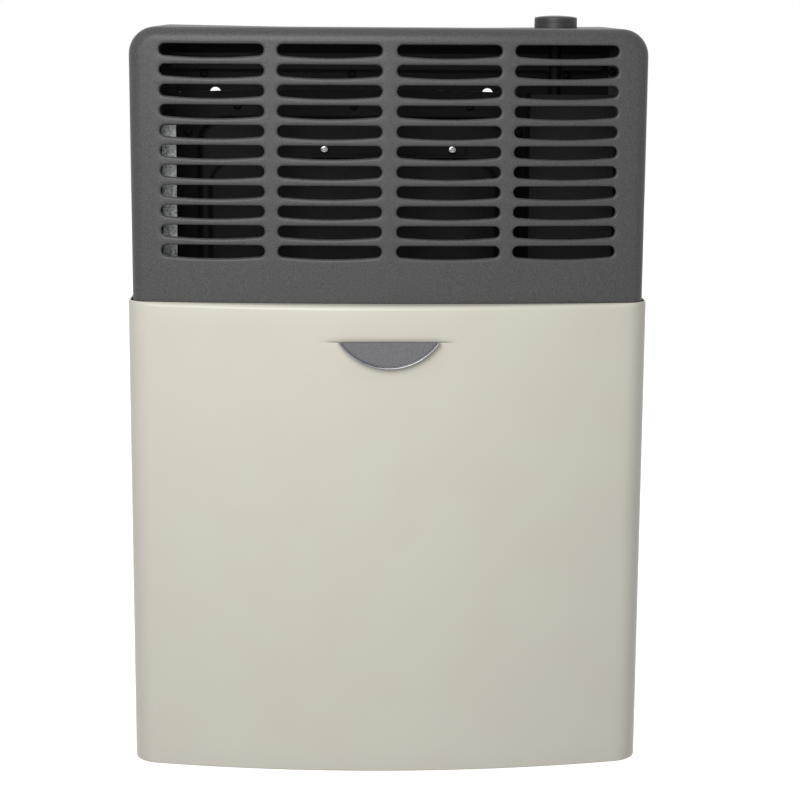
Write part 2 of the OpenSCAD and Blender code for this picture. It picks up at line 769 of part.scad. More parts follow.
module back_plate() {
    color("lightgray") difference() {
        from_wall(0, sheet_t)
            round_rect(-plate_w / 2, 0, plate_w / 2, plate_top, plate_corner_r);
        for (place = fixing_places) translate([place[0], 0, place[1]])
            from_wall(-cut, sheet_t + cut) circle(fixing_r);
        translate([flue_x, 0, flue_z])
            from_wall(-cut, sheet_t + cut) circle(intake_r + collar_t + seat_gap);
        screw_holes(concat(chassis_screw_places, casing_screw_places, valve_foot_places,
            duct_screw_places), -cut, sheet_t + cut);
    }
}

// The right-hand side rail; the left-hand one is its mirror image.
module rail() {
    rail_h = rail_top - tray_top;
    difference() {
        union() {
            translate([rail_x - sheet_t, -rail_depth, tray_top])
                cube([sheet_t, rail_depth - sheet_t, rail_h]);
            translate([rail_x - rail_front_w, -rail_depth, tray_top])
                cube([rail_front_w, sheet_t, rail_h]);
            translate([rail_x - rail_rear_w, -2 * sheet_t, tray_top])
                cube([rail_rear_w, sheet_t, rail_h]);
        }
        screw_holes(rail_screw_places, 0, 3 * sheet_t);
        for (place = stud_places) translate([place[0], 0, place[1]])
            from_wall(rail_depth - 2 * sheet_t, rail_depth + cut) circle(catch_r + catch_gap);
    }
}

module left_rail() {
    color("gainsboro") mirror([1, 0, 0]) rail();
}

module right_rail() {
    color("gainsboro") rail();
}

module base_tray() {
    hole_left = tray_side_border - rail_x;
    hole_w = inlet_x - tray_inlet_land - hole_left;
    flange_x = rail_x - rail_rear_w - cut;
    color("gainsboro") difference() {
        union() {
            translate([-rail_x, -rail_depth, tray_z])
                cube([2 * rail_x, rail_depth - sheet_t, sheet_t]);
            translate([-flange_x, -2 * sheet_t, tray_z]) cube([2 * flange_x, sheet_t, tray_flange_h]);
        }
        translate([hole_left, -rail_depth + tray_border, tray_z - cut])
            cube([hole_w, rail_depth - 2 * tray_border, sheet_t + 2 * cut]);
        translate([inlet_x, -inlet_y, tray_z - cut])
            cylinder(h = sheet_t + 2 * cut, r = inlet_r + seat_gap);
    }
}

module top_shelf() {
    color("gainsboro") difference() {
        union() {
            translate([-rail_x, -2 * sheet_t, shelf_z - shelf_flange_h])
                cube([2 * rail_x, sheet_t, shelf_flange_h + sheet_t]);
            translate([-rail_x, -shelf_d, shelf_z]) cube([2 * rail_x, shelf_d - sheet_t, sheet_t]);
            translate([-rail_x, -shelf_d, shelf_z]) cube([2 * rail_x, sheet_t, shelf_lip]);
        }
        screw_holes(shelf_screw_places, 0, 3 * sheet_t);
    }
}

module chassis_screws() {
    color("silver") for (place = chassis_screw_places)
        screw(place, 2 * sheet_t, 2 * sheet_t - seat_gap);
}

module grille_casing() {
    inner_x = casing_side - casing_t;
    flange_h = casing_top - casing_corner_r - casing_bottom;
    color("dimgray") difference() {
        union() {
            bowed_shell(casing_w, casing_depth, casing_bow_r, casing_side_r, casing_bottom,
                casing_top, casing_edge_r, casing_corner_r, sheet_t, casing_t, -cut);
            for (side = [-1, 1]) translate([side * (inner_x - casing_flange_w / 2), 0, 0])
                from_wall(sheet_t, sheet_t + casing_t)
                    translate([-(casing_flange_w + casing_t) / 2, casing_bottom])
                        square([casing_flange_w + casing_t, flange_h]);
        }
        from_wall(casing_depth - casing_corner_r, casing_depth + cut)
            for (place = slot_places) translate(place) slot_outline();
        translate([knob_x, -knob_y, casing_top - 2 * casing_t])
            cylinder(h = 3 * casing_t, r = knob_r + knob_gap);
        screw_holes(casing_screw_places, 0, 2 * sheet_t + casing_t);
    }
}

module casing_screws() {
    seat = sheet_t + casing_t;
    color("silver") for (place = casing_screw_places) screw(place, seat, seat - seat_gap);
}

module rear_shell() {
    wall_hole = 3 * shell_t;
    color("black") difference() {
        union() {
            from_wall(rear_joint_y - shell_t, rear_joint_y) joint_outline();
            from_wall(shell_back, rear_joint_y) shell_outline(0);
        }
        from_wall(shell_back + shell_t, joint_y) shell_outline(shell_t);
        translate([flue_x, 0, flue_z])
            from_wall(shell_back - cut, shell_back + wall_hole) circle(flue_r + collar_t + seat_gap);
        from_wall(shell_back - cut, shell_back + wall_hole) air_hole_outline(0);
        along_x(shell_right - wall_hole, shell_right + cut, holder_r + seat_gap, burner_y, burner_z);
        along_x(shell_right - shell_r, shell_right + cut, spark_lead_r + seat_gap, spark_y, lead_z);
        along_x(shell_right - shell_r, shell_right + cut, pilot_tube_r + seat_gap, pilot_line_y,
            lead_z);
        along_x(shell_right - shell_r, shell_right + cut, thermo_lead_r + seat_gap, thermo_y, lead_z);
        screw_holes(joint_screw_places, rear_joint_y - 2 * shell_t, joint_y);
    }
}

module front_shell() {
    rib_x0 = exchanger_x - (rib_count - 1) * rib_pitch / 2;
    color("black") difference() {
        union() {
            from_wall(joint_y, joint_y + shell_t) joint_outline();
            from_wall(joint_y, shell_front) shell_outline(0);
            for (i = [0:rib_count - 1]) from_wall(shell_front - shell_t, shell_front + rib_d)
                rib_outline(rib_x0 + i * rib_pitch, 0);
        }
        from_wall(joint_y - cut, shell_front - shell_t) shell_outline(shell_t);
        for (i = [0:rib_count - 1]) from_wall(shell_front - 2 * shell_t, shell_front + rib_d - shell_t)
            rib_outline(rib_x0 + i * rib_pitch, shell_t);
        translate([pilot_x, 0, sight_z]) from_wall(shell_front - 2 * shell_t, shell_front + cut)
            circle(sight_r);
        screw_holes(joint_screw_places, joint_y - cut, joint_y + 2 * shell_t);
        screw_holes(brace_screw_places, shell_front - 2 * shell_t, shell_front + cut);
    }
}

module shell_gasket() {
    color("ivory") difference() {
        from_wall(rear_joint_y, joint_y) joint_outline();
        from_wall(rear_joint_y - cut, joint_y + cut) shell_outline(shell_t);
        screw_holes(joint_screw_places, rear_joint_y - cut, joint_y + cut);
    }
}

module shell_screws() {
    seat = joint_y + shell_t;
    color("silver") for (place = joint_screw_places)
        screw(place, seat, seat - rear_joint_y + 2 * shell_t);
}

module shell_brace() {
    seat = shell_front + shell_t;
    color("darkgray") difference() {
        union() {
            from_wall(shell_front, seat) translate([exchanger_x + brace_left, brace_z])
                square([brace_w, brace_h]);
            from_wall(shell_front, seat + brace_fold_d) translate([exchanger_x + brace_left, brace_z])
                square([brace_w, shell_t]);
        }
        screw_holes(brace_screw_places, shell_front - cut, seat + cut);
    }
}

module brace_screws() {
    seat = shell_front + shell_t;
    color("silver") for (place = brace_screw_places) screw(place, seat, 3 * shell_t);
}

module flue_collar() {
    color("silver") translate([flue_x, 0, flue_z])
        from_wall(0, shell_back + 2 * shell_t) ring(flue_r, flue_r + collar_t);
}

module flue_flange() {
    inner = flue_r + collar_t + flange_fit;
    color("silver") translate([flue_x, 0, flue_z])
        from_wall(duct_front, shell_back) ring(inner, inner + collar_flange_w);
}

module intake_collar() {
    outer = intake_r + collar_t;
    color("silver") translate([flue_x, 0, flue_z]) {
        from_wall(0, intake_depth) ring(intake_r, outer);
        from_wall(sheet_t, 2 * sheet_t) ring(outer - collar_t / 2, outer + collar_flange_w);
    }
}

module air_duct() {
    left = flue_x - duct_w / 2;
    duct_h = duct_top - duct_bottom;
    face_y = duct_front - sheet_t;
    color("gainsboro") difference() {
        union() {
            from_wall(sheet_t, face_y) translate([left, duct_bottom]) square([duct_w, duct_h]);
            from_wall(sheet_t, 2 * sheet_t)
                translate([left - duct_flange_w, duct_bottom - duct_flange_w])
                    square([duct_w + 2 * duct_flange_w, duct_h + 2 * duct_flange_w]);
        }
        from_wall(0, duct_front) translate([left + sheet_t, duct_bottom + sheet_t])
            square([duct_w - 2 * sheet_t, duct_h - 2 * sheet_t]);
        screw_holes(duct_screw_places, 0, 3 * sheet_t);
    }
}

module duct_face() {
    color("gainsboro") from_wall(duct_front - sheet_t, duct_front) difference() {
        translate([flue_x - duct_w / 2, duct_bottom]) square([duct_w, duct_top - duct_bottom]);
        translate([flue_x, flue_z]) circle(flue_r + collar_t + seat_gap);
        air_hole_outline(0);
    }
}

module air_gasket() {
    color("ivory") from_wall(duct_front, shell_back) difference() {
        air_hole_outline(air_gasket_w);
        air_hole_outline(0);
    }
}

module burner_tube() {
    color("silver") difference() {
        along_x(burner_start, burner_end, burner_r, burner_y, burner_z);
        along_x(burner_start + burner_t, burner_end + cut, burner_r - burner_t, burner_y, burner_z);
        for (i = [0:port_count - 1])
            translate([burner_start + port_start + i * port_pitch, -burner_y - burner_r / 2, burner_z])
                cube([port_w, burner_r, burner_r + cut]);
    }
}

// The mixing tube's outline, from its axis outwards and along the tube.
module mixer_outline(wall, overrun) {
    seat_r = burner_r - burner_t - seat_gap;
    throat_at = mixer_seat + mixer_len * 0.55;
    polygon([[0, -overrun], [seat_r - wall, -overrun], [seat_r - wall, mixer_seat],
        [throat_r - wall, throat_at], [mouth_r - wall, mixer_seat + mixer_len + overrun],
        [0, mixer_seat + mixer_len + overrun]]);
}

module mixing_tube() {
    color("silver") translate([burner_end - mixer_seat, -burner_y, burner_z]) rotate([0, 90, 0])
        difference() {
            rotate_extrude() mixer_outline(0, 0);
            rotate_extrude() mixer_outline(burner_t, cut);
        }
}

module injector() {
    hex_len = injector_len / 2;
    color("goldenrod") difference() {
        union() {
            along_x(holder_x - injector_len, holder_x - hex_len + cut, mouth_r - 6, burner_y,
                burner_z);
            translate([holder_x - hex_len, -burner_y, burner_z]) rotate([0, 90, 0])
                cylinder(h = hex_len, r = mouth_r - 4, $fn = 6);
        }
        along_x(holder_x - injector_len - cut, holder_x + cut, jet_r, burner_y, burner_z);
    }
}

module injector_holder() {
    color("gray") difference() {
        union() {
            along_x(holder_x, holder_end, holder_r, burner_y, burner_z);
            along_x(shell_right, shell_right + 3, holder_r + 5, burner_y, burner_z);
        }
        along_x(holder_x - cut, holder_end + cut, burner_pipe_r - pipe_t, burner_y, burner_z);
    }
}

module burner_saddles() {
    color("gray") for (x = [burner_start + saddle_inset, burner_end - saddle_inset]) difference() {
        translate([x, -burner_y - burner_r, burner_z - burner_r - 5])
            cube([saddle_t, burner_y + burner_r - shell_back - shell_t, burner_r + 5]);
        along_x(x - cut, x + saddle_t + cut, burner_r + seat_gap, burner_y, burner_z);
    }
}

module pilot_bracket() {
    plate_y = burner_y + burner_r + seat_gap;
    left = electrode_x - ceramic_r - pilot_border;
    width = 2 * pilot_pitch + ceramic_r + thermocouple_r + 2 * pilot_border;
    depth = pilot_y + pilot_r + pilot_border - plate_y;
    color("gray") difference() {
        union() {
            translate([left, -plate_y - pilot_plate_t, shelf_top_z - pilot_plate_t])
                cube([width, pilot_plate_t, pilot_plate_h]);
            translate([left, -plate_y - depth, shelf_top_z - pilot_plate_t])
                cube([width, depth, pilot_plate_t]);
        }
        for (piece = [[electrode_x, ceramic_r], [pilot_x, pilot_r], [thermocouple_x, thermocouple_r]])
            translate([piece[0], -pilot_y, shelf_top_z - 2 * pilot_plate_t])
                cylinder(h = 3 * pilot_plate_t, r = piece[1] + seat_gap);
    }
}

// A round body that stands in the pilot shelf on its flange.
module shelf_piece(x, r, flange_r, top) {
    translate([x, -pilot_y, lead_end_z]) cylinder(h = top - lead_end_z, r = r);
    translate([x, -pilot_y, shelf_top_z]) cylinder(h = 2.5, r = flange_r);
}

module pilot_burner() {
    hood_z = shelf_top_z + pilot_h - 8;
    color("silver") difference() {
        shelf_piece(pilot_x, pilot_r, pilot_r + 1.5, shelf_top_z + pilot_h);
        translate([pilot_x, -pilot_y, shelf_top_z]) cylinder(h = 40, r = pilot_r - 1.2);
        translate([pilot_x, -pilot_y, lead_end_z - cut]) cylinder(h = 40, r = jet_r);
        translate([pilot_x, -pilot_y - pilot_r - cut, hood_z]) cube([2 * pilot_r, pilot_r * 2, 5]);
    }
}

module thermocouple() {
    color("peru") {
        shelf_piece(thermocouple_x, thermocouple_r, thermocouple_r + 1.5, shelf_top_z + thermocouple_h);
        translate([thermocouple_x, -pilot_y, shelf_top_z + thermocouple_h]) sphere(thermocouple_r);
    }
}

module spark_electrode() {
    color("white") difference() {
        shelf_piece(electrode_x, ceramic_r, ceramic_r + 1.2, shelf_top_z + ceramic_h);
        translate([electrode_x, -pilot_y, tip_z]) cylinder(h = ceramic_h, r = jet_r + spindle_fit);
    }
}

module electrode_tip() {
    bend_rise = ceramic_h - 2;
    base = [electrode_x, -pilot_y, tip_z];
    bend = base + [0, 0, bend_rise];
    color("silver") {
        translate(base) cylinder(h = bend_rise + jet_r, r = jet_r);
        translate(bend) rotate([0, 60, 0]) cylinder(h = pilot_pitch - pilot_r - 2, r = jet_r * 0.9);
    }
}

module sight_gasket() {
    color("ivory") translate([pilot_x, 0, sight_z])
        from_wall(shell_front, shell_front + sight_gasket_t) ring(sight_r, glass_r);
}

module sight_glass() {
    near = shell_front + sight_gasket_t;
    color("lightblue", 0.4) translate([pilot_x, 0, sight_z]) from_wall(near, near + glass_t)
        circle(glass_r);
}

module sight_frame() {
    pocket = sight_gasket_t + glass_t;
    color("silver") translate([pilot_x, 0, sight_z]) difference() {
        from_wall(shell_front, shell_front + pocket + shell_t) circle(glass_r + sight_frame_w);
        from_wall(shell_front - cut, shell_front + pocket) circle(glass_r + seat_gap);
        from_wall(shell_front, shell_front + pocket + shell_t + cut) circle(sight_r);
    }
}

module gas_valve() {
    front = valve_back + valve_d;
    bore_bottom = spindle_bottom - press_travel - cut;
    color("silver") difference() {
        union() {
            translate([0, 0, valve_bottom]) linear_extrude(valve_h)
                round_rect(valve_left, -front, valve_left + valve_w, -valve_back, 4);
            translate([knob_x, -knob_y, valve_top - cut]) cylinder(h = boss_h + cut, r = boss_r);
            for (port = valve_ports) translate([port[0], -port[1], valve_bottom - port_h])
                cylinder(h = port_h + cut, r = port[2] + port_wall);
        }
        translate([knob_x, -knob_y, bore_bottom])
            cylinder(h = valve_top + boss_h + cut - bore_bottom, r = spindle_r + spindle_fit);
        for (port = valve_ports) if (port[2] > thermo_lead_r)
            translate([port[0], -port[1], valve_bottom - port_h - cut])
                cylinder(h = port_h + 2 * cut, r = port[2] - min(pipe_t, port[2] / 2));
    }
}

module valve_bracket() {
    left = valve_left;
    right = igniter_x + igniter_r + 6;
    tab_left = knob_x + valve_w / 2 + seat_gap;
    leg_h = 40;
    color("gainsboro") difference() {
        union() {
            translate([left, 0, 0]) from_wall(valve_back - sheet_t, valve_back)
                translate([0, valve_bottom]) square([right - left, tab_z - valve_bottom]);
            translate([tab_left, -knob_y - 12, tab_z - sheet_t])
                cube([right - tab_left, knob_y + 12 - valve_back + sheet_t, sheet_t]);
            for (leg = valve_legs) {
                translate([leg[0], -valve_back, valve_bottom + 5])
                    cube([sheet_t, valve_back - sheet_t, leg_h]);
                translate([leg[1], -2 * sheet_t, valve_bottom + 5]) cube([foot_w, sheet_t, leg_h]);
            }
        }
        screw_holes(valve_foot_places, 0, 3 * sheet_t);
        translate([igniter_x, -knob_y, tab_z - 2 * sheet_t])
            cylinder(h = 3 * sheet_t, r = igniter_r + seat_gap);
    }
}

module inlet_union() {
    thread_top = tray_z - cut;
    color("goldenrod") translate([inlet_x, -inlet_y, 0]) difference() {
        union() {
            translate([0, 0, thread_top - inlet_len]) cylinder(h = inlet_len, r = inlet_r);
            translate([0, 0, thread_top - cut])
                cylinder(h = sheet_t + 3 * cut, r = inlet_r - seat_gap);
            translate([0, 0, tray_top]) cylinder(h = union_hex_h, r = inlet_r + 5, $fn = 6);
            translate([0, 0, tray_top + union_hex_h / 2])
                cylinder(h = union_h - union_hex_h / 2, r = inlet_pipe_r + 2);
        }
        translate([0, 0, thread_top - inlet_len - cut])
            cylinder(h = union_top, r = inlet_pipe_r - pipe_t);
    }
}

// A union nut around a pipe, under one of the valve's ports.
module port_nut(port) {
    translate([port[0], -port[1], valve_bottom - port_h - nut_h]) difference() {
        cylinder(h = nut_h, r = port[2] + port_wall + 0.5, $fn = 6);
        translate([0, 0, -cut]) cylinder(h = nut_h + 2 * cut, r = port[2] * 0.8);
    }
}

// The last stretch of a route, up into one of the valve's ports.
function port_rise(port, z) = [[port[0], -port[1], z], [port[0], -port[1], valve_bottom - port_h]];

module inlet_pipe() {
    port = valve_ports[1];
    color("silver") {
        pipe(concat([[inlet_x, -inlet_y, union_top], [inlet_x, -inlet_y, bend_z]],
            port_rise(port, bend_z)), inlet_pipe_r, pipe_t);
        port_nut(port);
    }
}

module burner_pipe() {
    port = valve_ports[0];
    riser_x = holder_end + 6;
    color("silver") {
        pipe(concat([[holder_end, -burner_y, burner_z], [riser_x, -burner_y, burner_z],
            [riser_x, -burner_y, bend_z]], port_rise(port, bend_z)), burner_pipe_r, pipe_t);
        port_nut(port);
    }
}

module pilot_tube() {
    port = valve_ports[2];
    riser_x = shield_left + pilot_riser_gap;
    top = bend_z + 10;
    color("silver") {
        pipe(concat([[pilot_x, -pilot_y, lead_end_z], [pilot_x, -pilot_y, lead_z],
            [pilot_x, -pilot_line_y, lead_z], [riser_x, -pilot_line_y, lead_z],
            [riser_x, -pilot_line_y, top]], port_rise(port, top)), pilot_tube_r, pipe_t);
        port_nut(port);
    }
}

module thermocouple_lead() {
    port = valve_ports[3];
    riser_x = shield_left + thermo_riser_gap;
    top = bend_z + 15;
    color("peru") path(concat([[thermocouple_x, -pilot_y, lead_end_z],
        [thermocouple_x, -pilot_y, lead_z], [thermocouple_x, -thermo_y, lead_z],
        [riser_x, -thermo_y, lead_z], [riser_x, -thermo_y, top]], port_rise(port, top)),
        thermo_lead_r);
}

module ignition_lead() {
    top = bend_z + 30;
    color("white") path([[electrode_x, -pilot_y, lead_end_z], [electrode_x, -pilot_y, lead_z],
        [electrode_x, -spark_y, lead_z], [igniter_x, -spark_y, lead_z], [igniter_x, -spark_y, top],
        [igniter_x, -knob_y, top], [igniter_x, -knob_y, tab_z - igniter_len]], spark_lead_r);
}

module igniter() {
    neck_top = valve_top + boss_h - 3;
    color("darkslategray") translate([igniter_x, -knob_y, 0]) difference() {
        union() {
            translate([0, 0, tab_z - igniter_len]) cylinder(h = igniter_len, r = igniter_r);
            translate([0, 0, tab_z]) cylinder(h = igniter_flange_h, r = igniter_r + 3);
            translate([0, 0, tab_z]) cylinder(h = neck_top - tab_z, r = plunger_r + 2.5);
        }
        translate([0, 0, plunger_bottom - press_travel - cut])
            cylinder(h = neck_top, r = plunger_r + seat_gap);
    }
}

// Coil of round wire, from its lower to its upper end.
module return_spring() {
    steps = 16;
    sides = 6;
    last = spring_turns * steps;
    rise = (spring_len - 2 * wire_r) / last;
    points = [for (i = [0:last]) for (k = [0:sides - 1])
        let (turn = i * 360 / steps, side = k * 360 / sides, r = spring_r + wire_r * cos(side))
        [r * cos(turn), r * sin(turn), wire_r + i * rise + wire_r * sin(side)]];
    walls = [for (i = [0:last - 1]) for (k = [0:sides - 1])
        let (a = i * sides + k, b = i * sides + (k + 1) % sides)
        for (face = [[a, b, b + sides], [a, b + sides, a + sides]]) face];
    ends = [for (k = [1:sides - 2]) for (face = [[0, k + 1, k],
        [last * sides, last * sides + k, last * sides + k + 1]]) face];
    color("silver") translate([knob_x, -knob_y, spring_z])
        polyhedron(points, concat(walls, ends), convexity = 10);
}

module control_shield() {
    front = rail_depth + sheet_t;
    color("dimgray") difference() {
        union() {
            from_wall(rail_depth, front) translate([shield_left, shield_bottom])
                square([rail_x - shield_left, shield_top - shield_bottom]);
            from_wall(joint_y + 8, front) translate([shield_left, shield_bottom])
                square([sheet_t, shield_top - shield_bottom]);
        }
        for (place = stud_places) translate([place[0], 0, place[1]])
            from_wall(rail_depth - cut, front + cut) circle(catch_r + catch_lip + seat_gap);
    }
}

module thermostat_bulb() {
    color("peru") along_x(bulb_start, bulb_start + bulb_len, bulb_r, bulb_y, bulb_z);
}

module bulb_clips() {
    color("gainsboro") for (x = [bulb_start + 12, bulb_start + bulb_len - 16]) difference() {
        translate([x, -bulb_y - bulb_r - 1, tray_top])
            cube([4, 2 * bulb_r + 2, bulb_z - tray_top + bulb_r / 2]);
        along_x(x - cut, x + 4 + cut, bulb_r + seat_gap, bulb_y, bulb_z);
    }
}

module capillary() {
    port = valve_ports[4];
    bulb_end = bulb_start + bulb_len;
    riser_x = rail_x - rail_front_w - 4;
    top = bend_z + 15;
    color("peru") path(concat([[bulb_end, -bulb_y, bulb_z], [riser_x, -bulb_y, bulb_z],
        [riser_x, -bulb_y, top]], port_rise(port, top)), capillary_r);
}

module panel_catches() {
    back = rail_depth - sheet_t;
    color("whitesmoke") for (place = stud_places) translate([place[0], 0, place[1]]) {
        from_wall(back - catch_flange_t, rail_depth + catch_flange_t)
            ring(stud_r + seat_gap, catch_r);
        from_wall(rail_depth, rail_depth + catch_flange_t)
            ring(stud_r + seat_gap + catch_wall / 2, catch_r + catch_lip);
        from_wall(back - catch_flange_t, back)
            ring(stud_r + seat_gap + catch_wall / 2, catch_r + catch_lip);
    }
}

module front_panel() {
    color("wheat") difference() {
        bowed_shell(panel_w, panel_depth, panel_bow_r, panel_side_r, 0, panel_h, panel_edge_r,
            panel_edge_r, panel_back, panel_t, panel_t);
        translate([0, 0, panel_h - panel_edge_r - cut]) linear_extrude(panel_edge_r + 2 * cut)
            bowed_plan(casing_w + 2 * panel_gap, casing_depth + panel_gap, casing_bow_r + panel_gap,
                casing_side_r + panel_gap, -cut);
        translate([0, 0, -cut]) linear_extrude(panel_t + 2 * cut)
            bowed_plan(panel_w - 2 * panel_flange_w, panel_depth - panel_flange_w,
                panel_bow_r - panel_flange_w, max(panel_side_r - panel_flange_w, 1), -cut);
        for (place = peg_places) translate([place[0], 0, place[1]])
            from_wall(panel_depth - 6 * panel_t, panel_depth + cut) circle(peg_r + seat_gap);
    }
}

// A channel that follows the inside of the bowed panel, with its open side to the panel.
module stiffener(z) {
    inner = stiffener_back_r;
    translate([0, panel_bow_r - panel_depth, z]) rotate([0, 0, -90 - stiffener_half_angle])
        rotate_extrude(angle = 2 * stiffener_half_angle, $fn = bow_fn) {
            translate([inner, -stiffener_h / 2]) square([stiffener_t, stiffener_h]);
            for (side = [0, 1]) mirror([0, side]) {
                translate([inner, stiffener_h / 2 - stiffener_t]) square([stiffener_d, stiffener_t]);
                translate([stiffener_r - stiffener_t, stiffener_h / 2 - stiffener_t])
                    square([stiffener_t, stiffener_lip_h]);
            }
        }
}

module lower_stiffener() {
    color("gainsboro") stiffener(lower_stiffener_z);
}

module upper_stiffener() {
    color("gainsboro") stiffener(upper_stiffener_z);
}

module panel_studs() {
    color("silver") for (place = stud_places) translate([place[0], 0, place[1]]) {
        from_wall(rail_depth - sheet_t - catch_flange_t - stud_tip, stud_seat) circle(stud_r);
        from_wall(stud_seat - 2, stud_seat) circle(stud_base_r);
    }
}

module pull_plate() {
    back = panel_depth + seat_gap;
    color("dimgray") {
        from_wall(back, panel_depth + pull_proud - pull_recess) pull_outline(pull_rim_w + seat_gap / 2);
        for (place = peg_places) translate([place[0], 0, place[1]])
            from_wall(panel_depth - peg_len, back + cut) circle(peg_r);
    }
}

module pull_rim() {
    color("silver") from_wall(panel_depth + seat_gap, panel_depth + pull_proud) difference() {
        pull_outline(0);
        pull_outline(pull_rim_w);
    }
}

module press_collar() {
    color("gray") difference() {
        union() {
            translate([knob_x, -knob_y, collar_z]) cylinder(h = collar_h, r = spring_r + 3);
            translate([knob_x, -knob_y - plunger_r, collar_z])
                cube([igniter_dx, 2 * plunger_r, collar_h]);
            translate([igniter_x, -knob_y, plunger_bottom])
                cylinder(h = collar_z + collar_h - plunger_bottom, r = plunger_r);
        }
        translate([knob_x, -knob_y, collar_z - cut])
            cylinder(h = collar_h + 2 * cut, r = spindle_r + spindle_fit);
    }
}

module spindle() {
    color("silver") translate([knob_x, -knob_y, 0]) {
        translate([0, 0, spindle_bottom]) cylinder(h = spindle_top - spindle_bottom, r = spindle_r);
        translate([0, 0, collar_z + collar_h + seat_gap]) cylinder(h = 3, r = spindle_r + 3);
    }
}

module control_knob() {
    base = casing_top - knob_skirt;
    flute_r = 1.1;
    hub_r = spindle_r + 3;
    color("dimgray") translate([knob_x, -knob_y, 0]) difference() {
        translate([0, 0, base]) cylinder(h = knob_z - base, r = knob_r);
        translate([0, 0, base - cut]) linear_extrude(knob_rise - 1)
            ring(hub_r, knob_r - 2.5);
        translate([0, 0, base - cut])
            cylinder(h = spindle_top + seat_gap + cut - base, r = spindle_r + spindle_fit);
        translate([0, 0, knob_z - cap_t]) cylinder(h = cap_t + cut, r = cap_r + seat_gap / 2);
        for (i = [0:flute_count - 1]) rotate(i * 360 / flute_count)
            translate([knob_r + flute_r - flute_d, 0, casing_top + 1])
                cylinder(h = knob_rise + cut, r = flute_r, $fn = 24);
    }
}

module knob_cap() {
    dome_r = (pow(cap_r, 2) + pow(cap_rise, 2)) / (2 * cap_rise);
    color("gray") translate([knob_x, -knob_y, knob_z]) {
        translate([0, 0, -cap_t]) cylinder(h = cap_t, r = cap_r);
        intersection() {
            translate([0, 0, cap_rise - dome_r]) sphere(dome_r, $fn = 360);
            translate([0, 0, -cap_t / 2]) cylinder(h = cap_rise + cap_t, r = cap_r);
        }
    }
}

back_plate();
left_rail();
right_rail();
base_tray();
top_shelf();
chassis_screws();
grille_casing();
casing_screws();
rear_shell();
front_shell();
shell_gasket();
shell_screws();
shell_brace();
brace_screws();
flue_collar();
flue_flange();
intake_collar();
air_duct();
duct_face();
air_gasket();
burner_tube();
mixing_tube();
injector();
injector_holder();
burner_saddles();
pilot_bracket();
pilot_burner();
thermocouple();
spark_electrode();
electrode_tip();
sight_glass();
sight_gasket();
sight_frame();
gas_valve();
valve_bracket();
inlet_union();
inlet_pipe();
burner_pipe();
pilot_tube();
thermocouple_lead();
ignition_lead();
igniter();
return_spring();
control_shield();
thermostat_bulb();
bulb_clips();
capillary();
panel_catches();
front_panel();
lower_stiffener();
upper_stiffener();
panel_studs();
pull_plate();
pull_rim();
press_collar();
spindle();
control_knob();
knob_cap();
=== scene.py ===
# %% [markdown]
# # Dressing a wall mounted gas heater
# The heater comes from its CAD solids: a slotted dark casing above, a bowed cream panel that
# pulls off below, and a burner, an exchanger and a gas valve behind them. This lesson gives it
# its looks. Plates and screws that are right already only get a finish. What the eye rests on,
# such as the grille, the panel, the finger pull and the knob, is modelled again with the folds
# and rolled edges that pressed sheet has. First the solids are loaded, and their box is kept.

# %% Load the solids
import json
import math

import bmesh
import bpy
from mathutils import Matrix, Vector


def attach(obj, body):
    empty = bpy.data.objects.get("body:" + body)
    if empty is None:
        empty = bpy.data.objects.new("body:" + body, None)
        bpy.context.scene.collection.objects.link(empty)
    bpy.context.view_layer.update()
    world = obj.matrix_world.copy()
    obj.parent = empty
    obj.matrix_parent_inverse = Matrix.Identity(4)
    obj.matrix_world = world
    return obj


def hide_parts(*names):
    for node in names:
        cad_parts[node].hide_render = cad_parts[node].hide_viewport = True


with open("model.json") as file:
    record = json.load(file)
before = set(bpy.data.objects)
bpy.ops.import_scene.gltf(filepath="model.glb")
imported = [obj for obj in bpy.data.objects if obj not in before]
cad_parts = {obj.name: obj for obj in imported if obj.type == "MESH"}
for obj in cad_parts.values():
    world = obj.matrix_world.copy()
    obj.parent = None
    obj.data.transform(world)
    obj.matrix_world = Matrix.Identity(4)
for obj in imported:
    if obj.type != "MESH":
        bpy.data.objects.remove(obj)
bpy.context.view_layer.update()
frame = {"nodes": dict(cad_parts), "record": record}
MM = 0.001

# %% [markdown]
# ## Camera
# The photograph was taken from a little left of the middle, level with the heater's top and
# tilted down, with a long lens. The numbers come from matching the casing's outline and its rows
# of slots. A camera looks along its own -Z, so its matrix is built from three directions.

# %% Camera
FOCAL_PIXELS, PHOTO_SIDE, SENSOR = 2111.96, 800, 36.0
EYE = Vector((-38.0014, -1916.4251, 652.0327)) * MM
PITCH, YAW, ROLL = 0.186935, 0.027473, 0.0062335

forward = Vector((math.sin(YAW) * math.cos(PITCH), math.cos(YAW) * math.cos(PITCH), -math.sin(PITCH)))
level = forward.cross(Vector((0, 0, 1))).normalized()
upright = level.cross(forward)
right = level * math.cos(ROLL) + upright * math.sin(ROLL)
up = upright * math.cos(ROLL) - level * math.sin(ROLL)

camera = bpy.data.objects.new("camera", bpy.data.cameras.new("camera"))
bpy.context.scene.collection.objects.link(camera)
camera.matrix_world = Matrix.Translation(EYE) @ Matrix((right, up, -forward)).transposed().to_4x4()
camera.data.sensor_width = SENSOR
camera.data.lens = FOCAL_PIXELS / PHOTO_SIDE * SENSOR
bpy.context.scene.camera = camera
bpy.context.scene.view_settings.view_transform = "Standard"
print("lens:", round(camera.data.lens, 1), "mm")

# %% [markdown]
# ## Node helpers
# Every material is a small tree of nodes. One function adds a node: its settings are plain
# values, its inputs are either numbers or the outputs of other nodes, and a colour ramp has
# stops, each an amount and the tone there. Colours are written as on a paint chart, as sRGB hex,
# and one function turns them into the linear values of a shader.

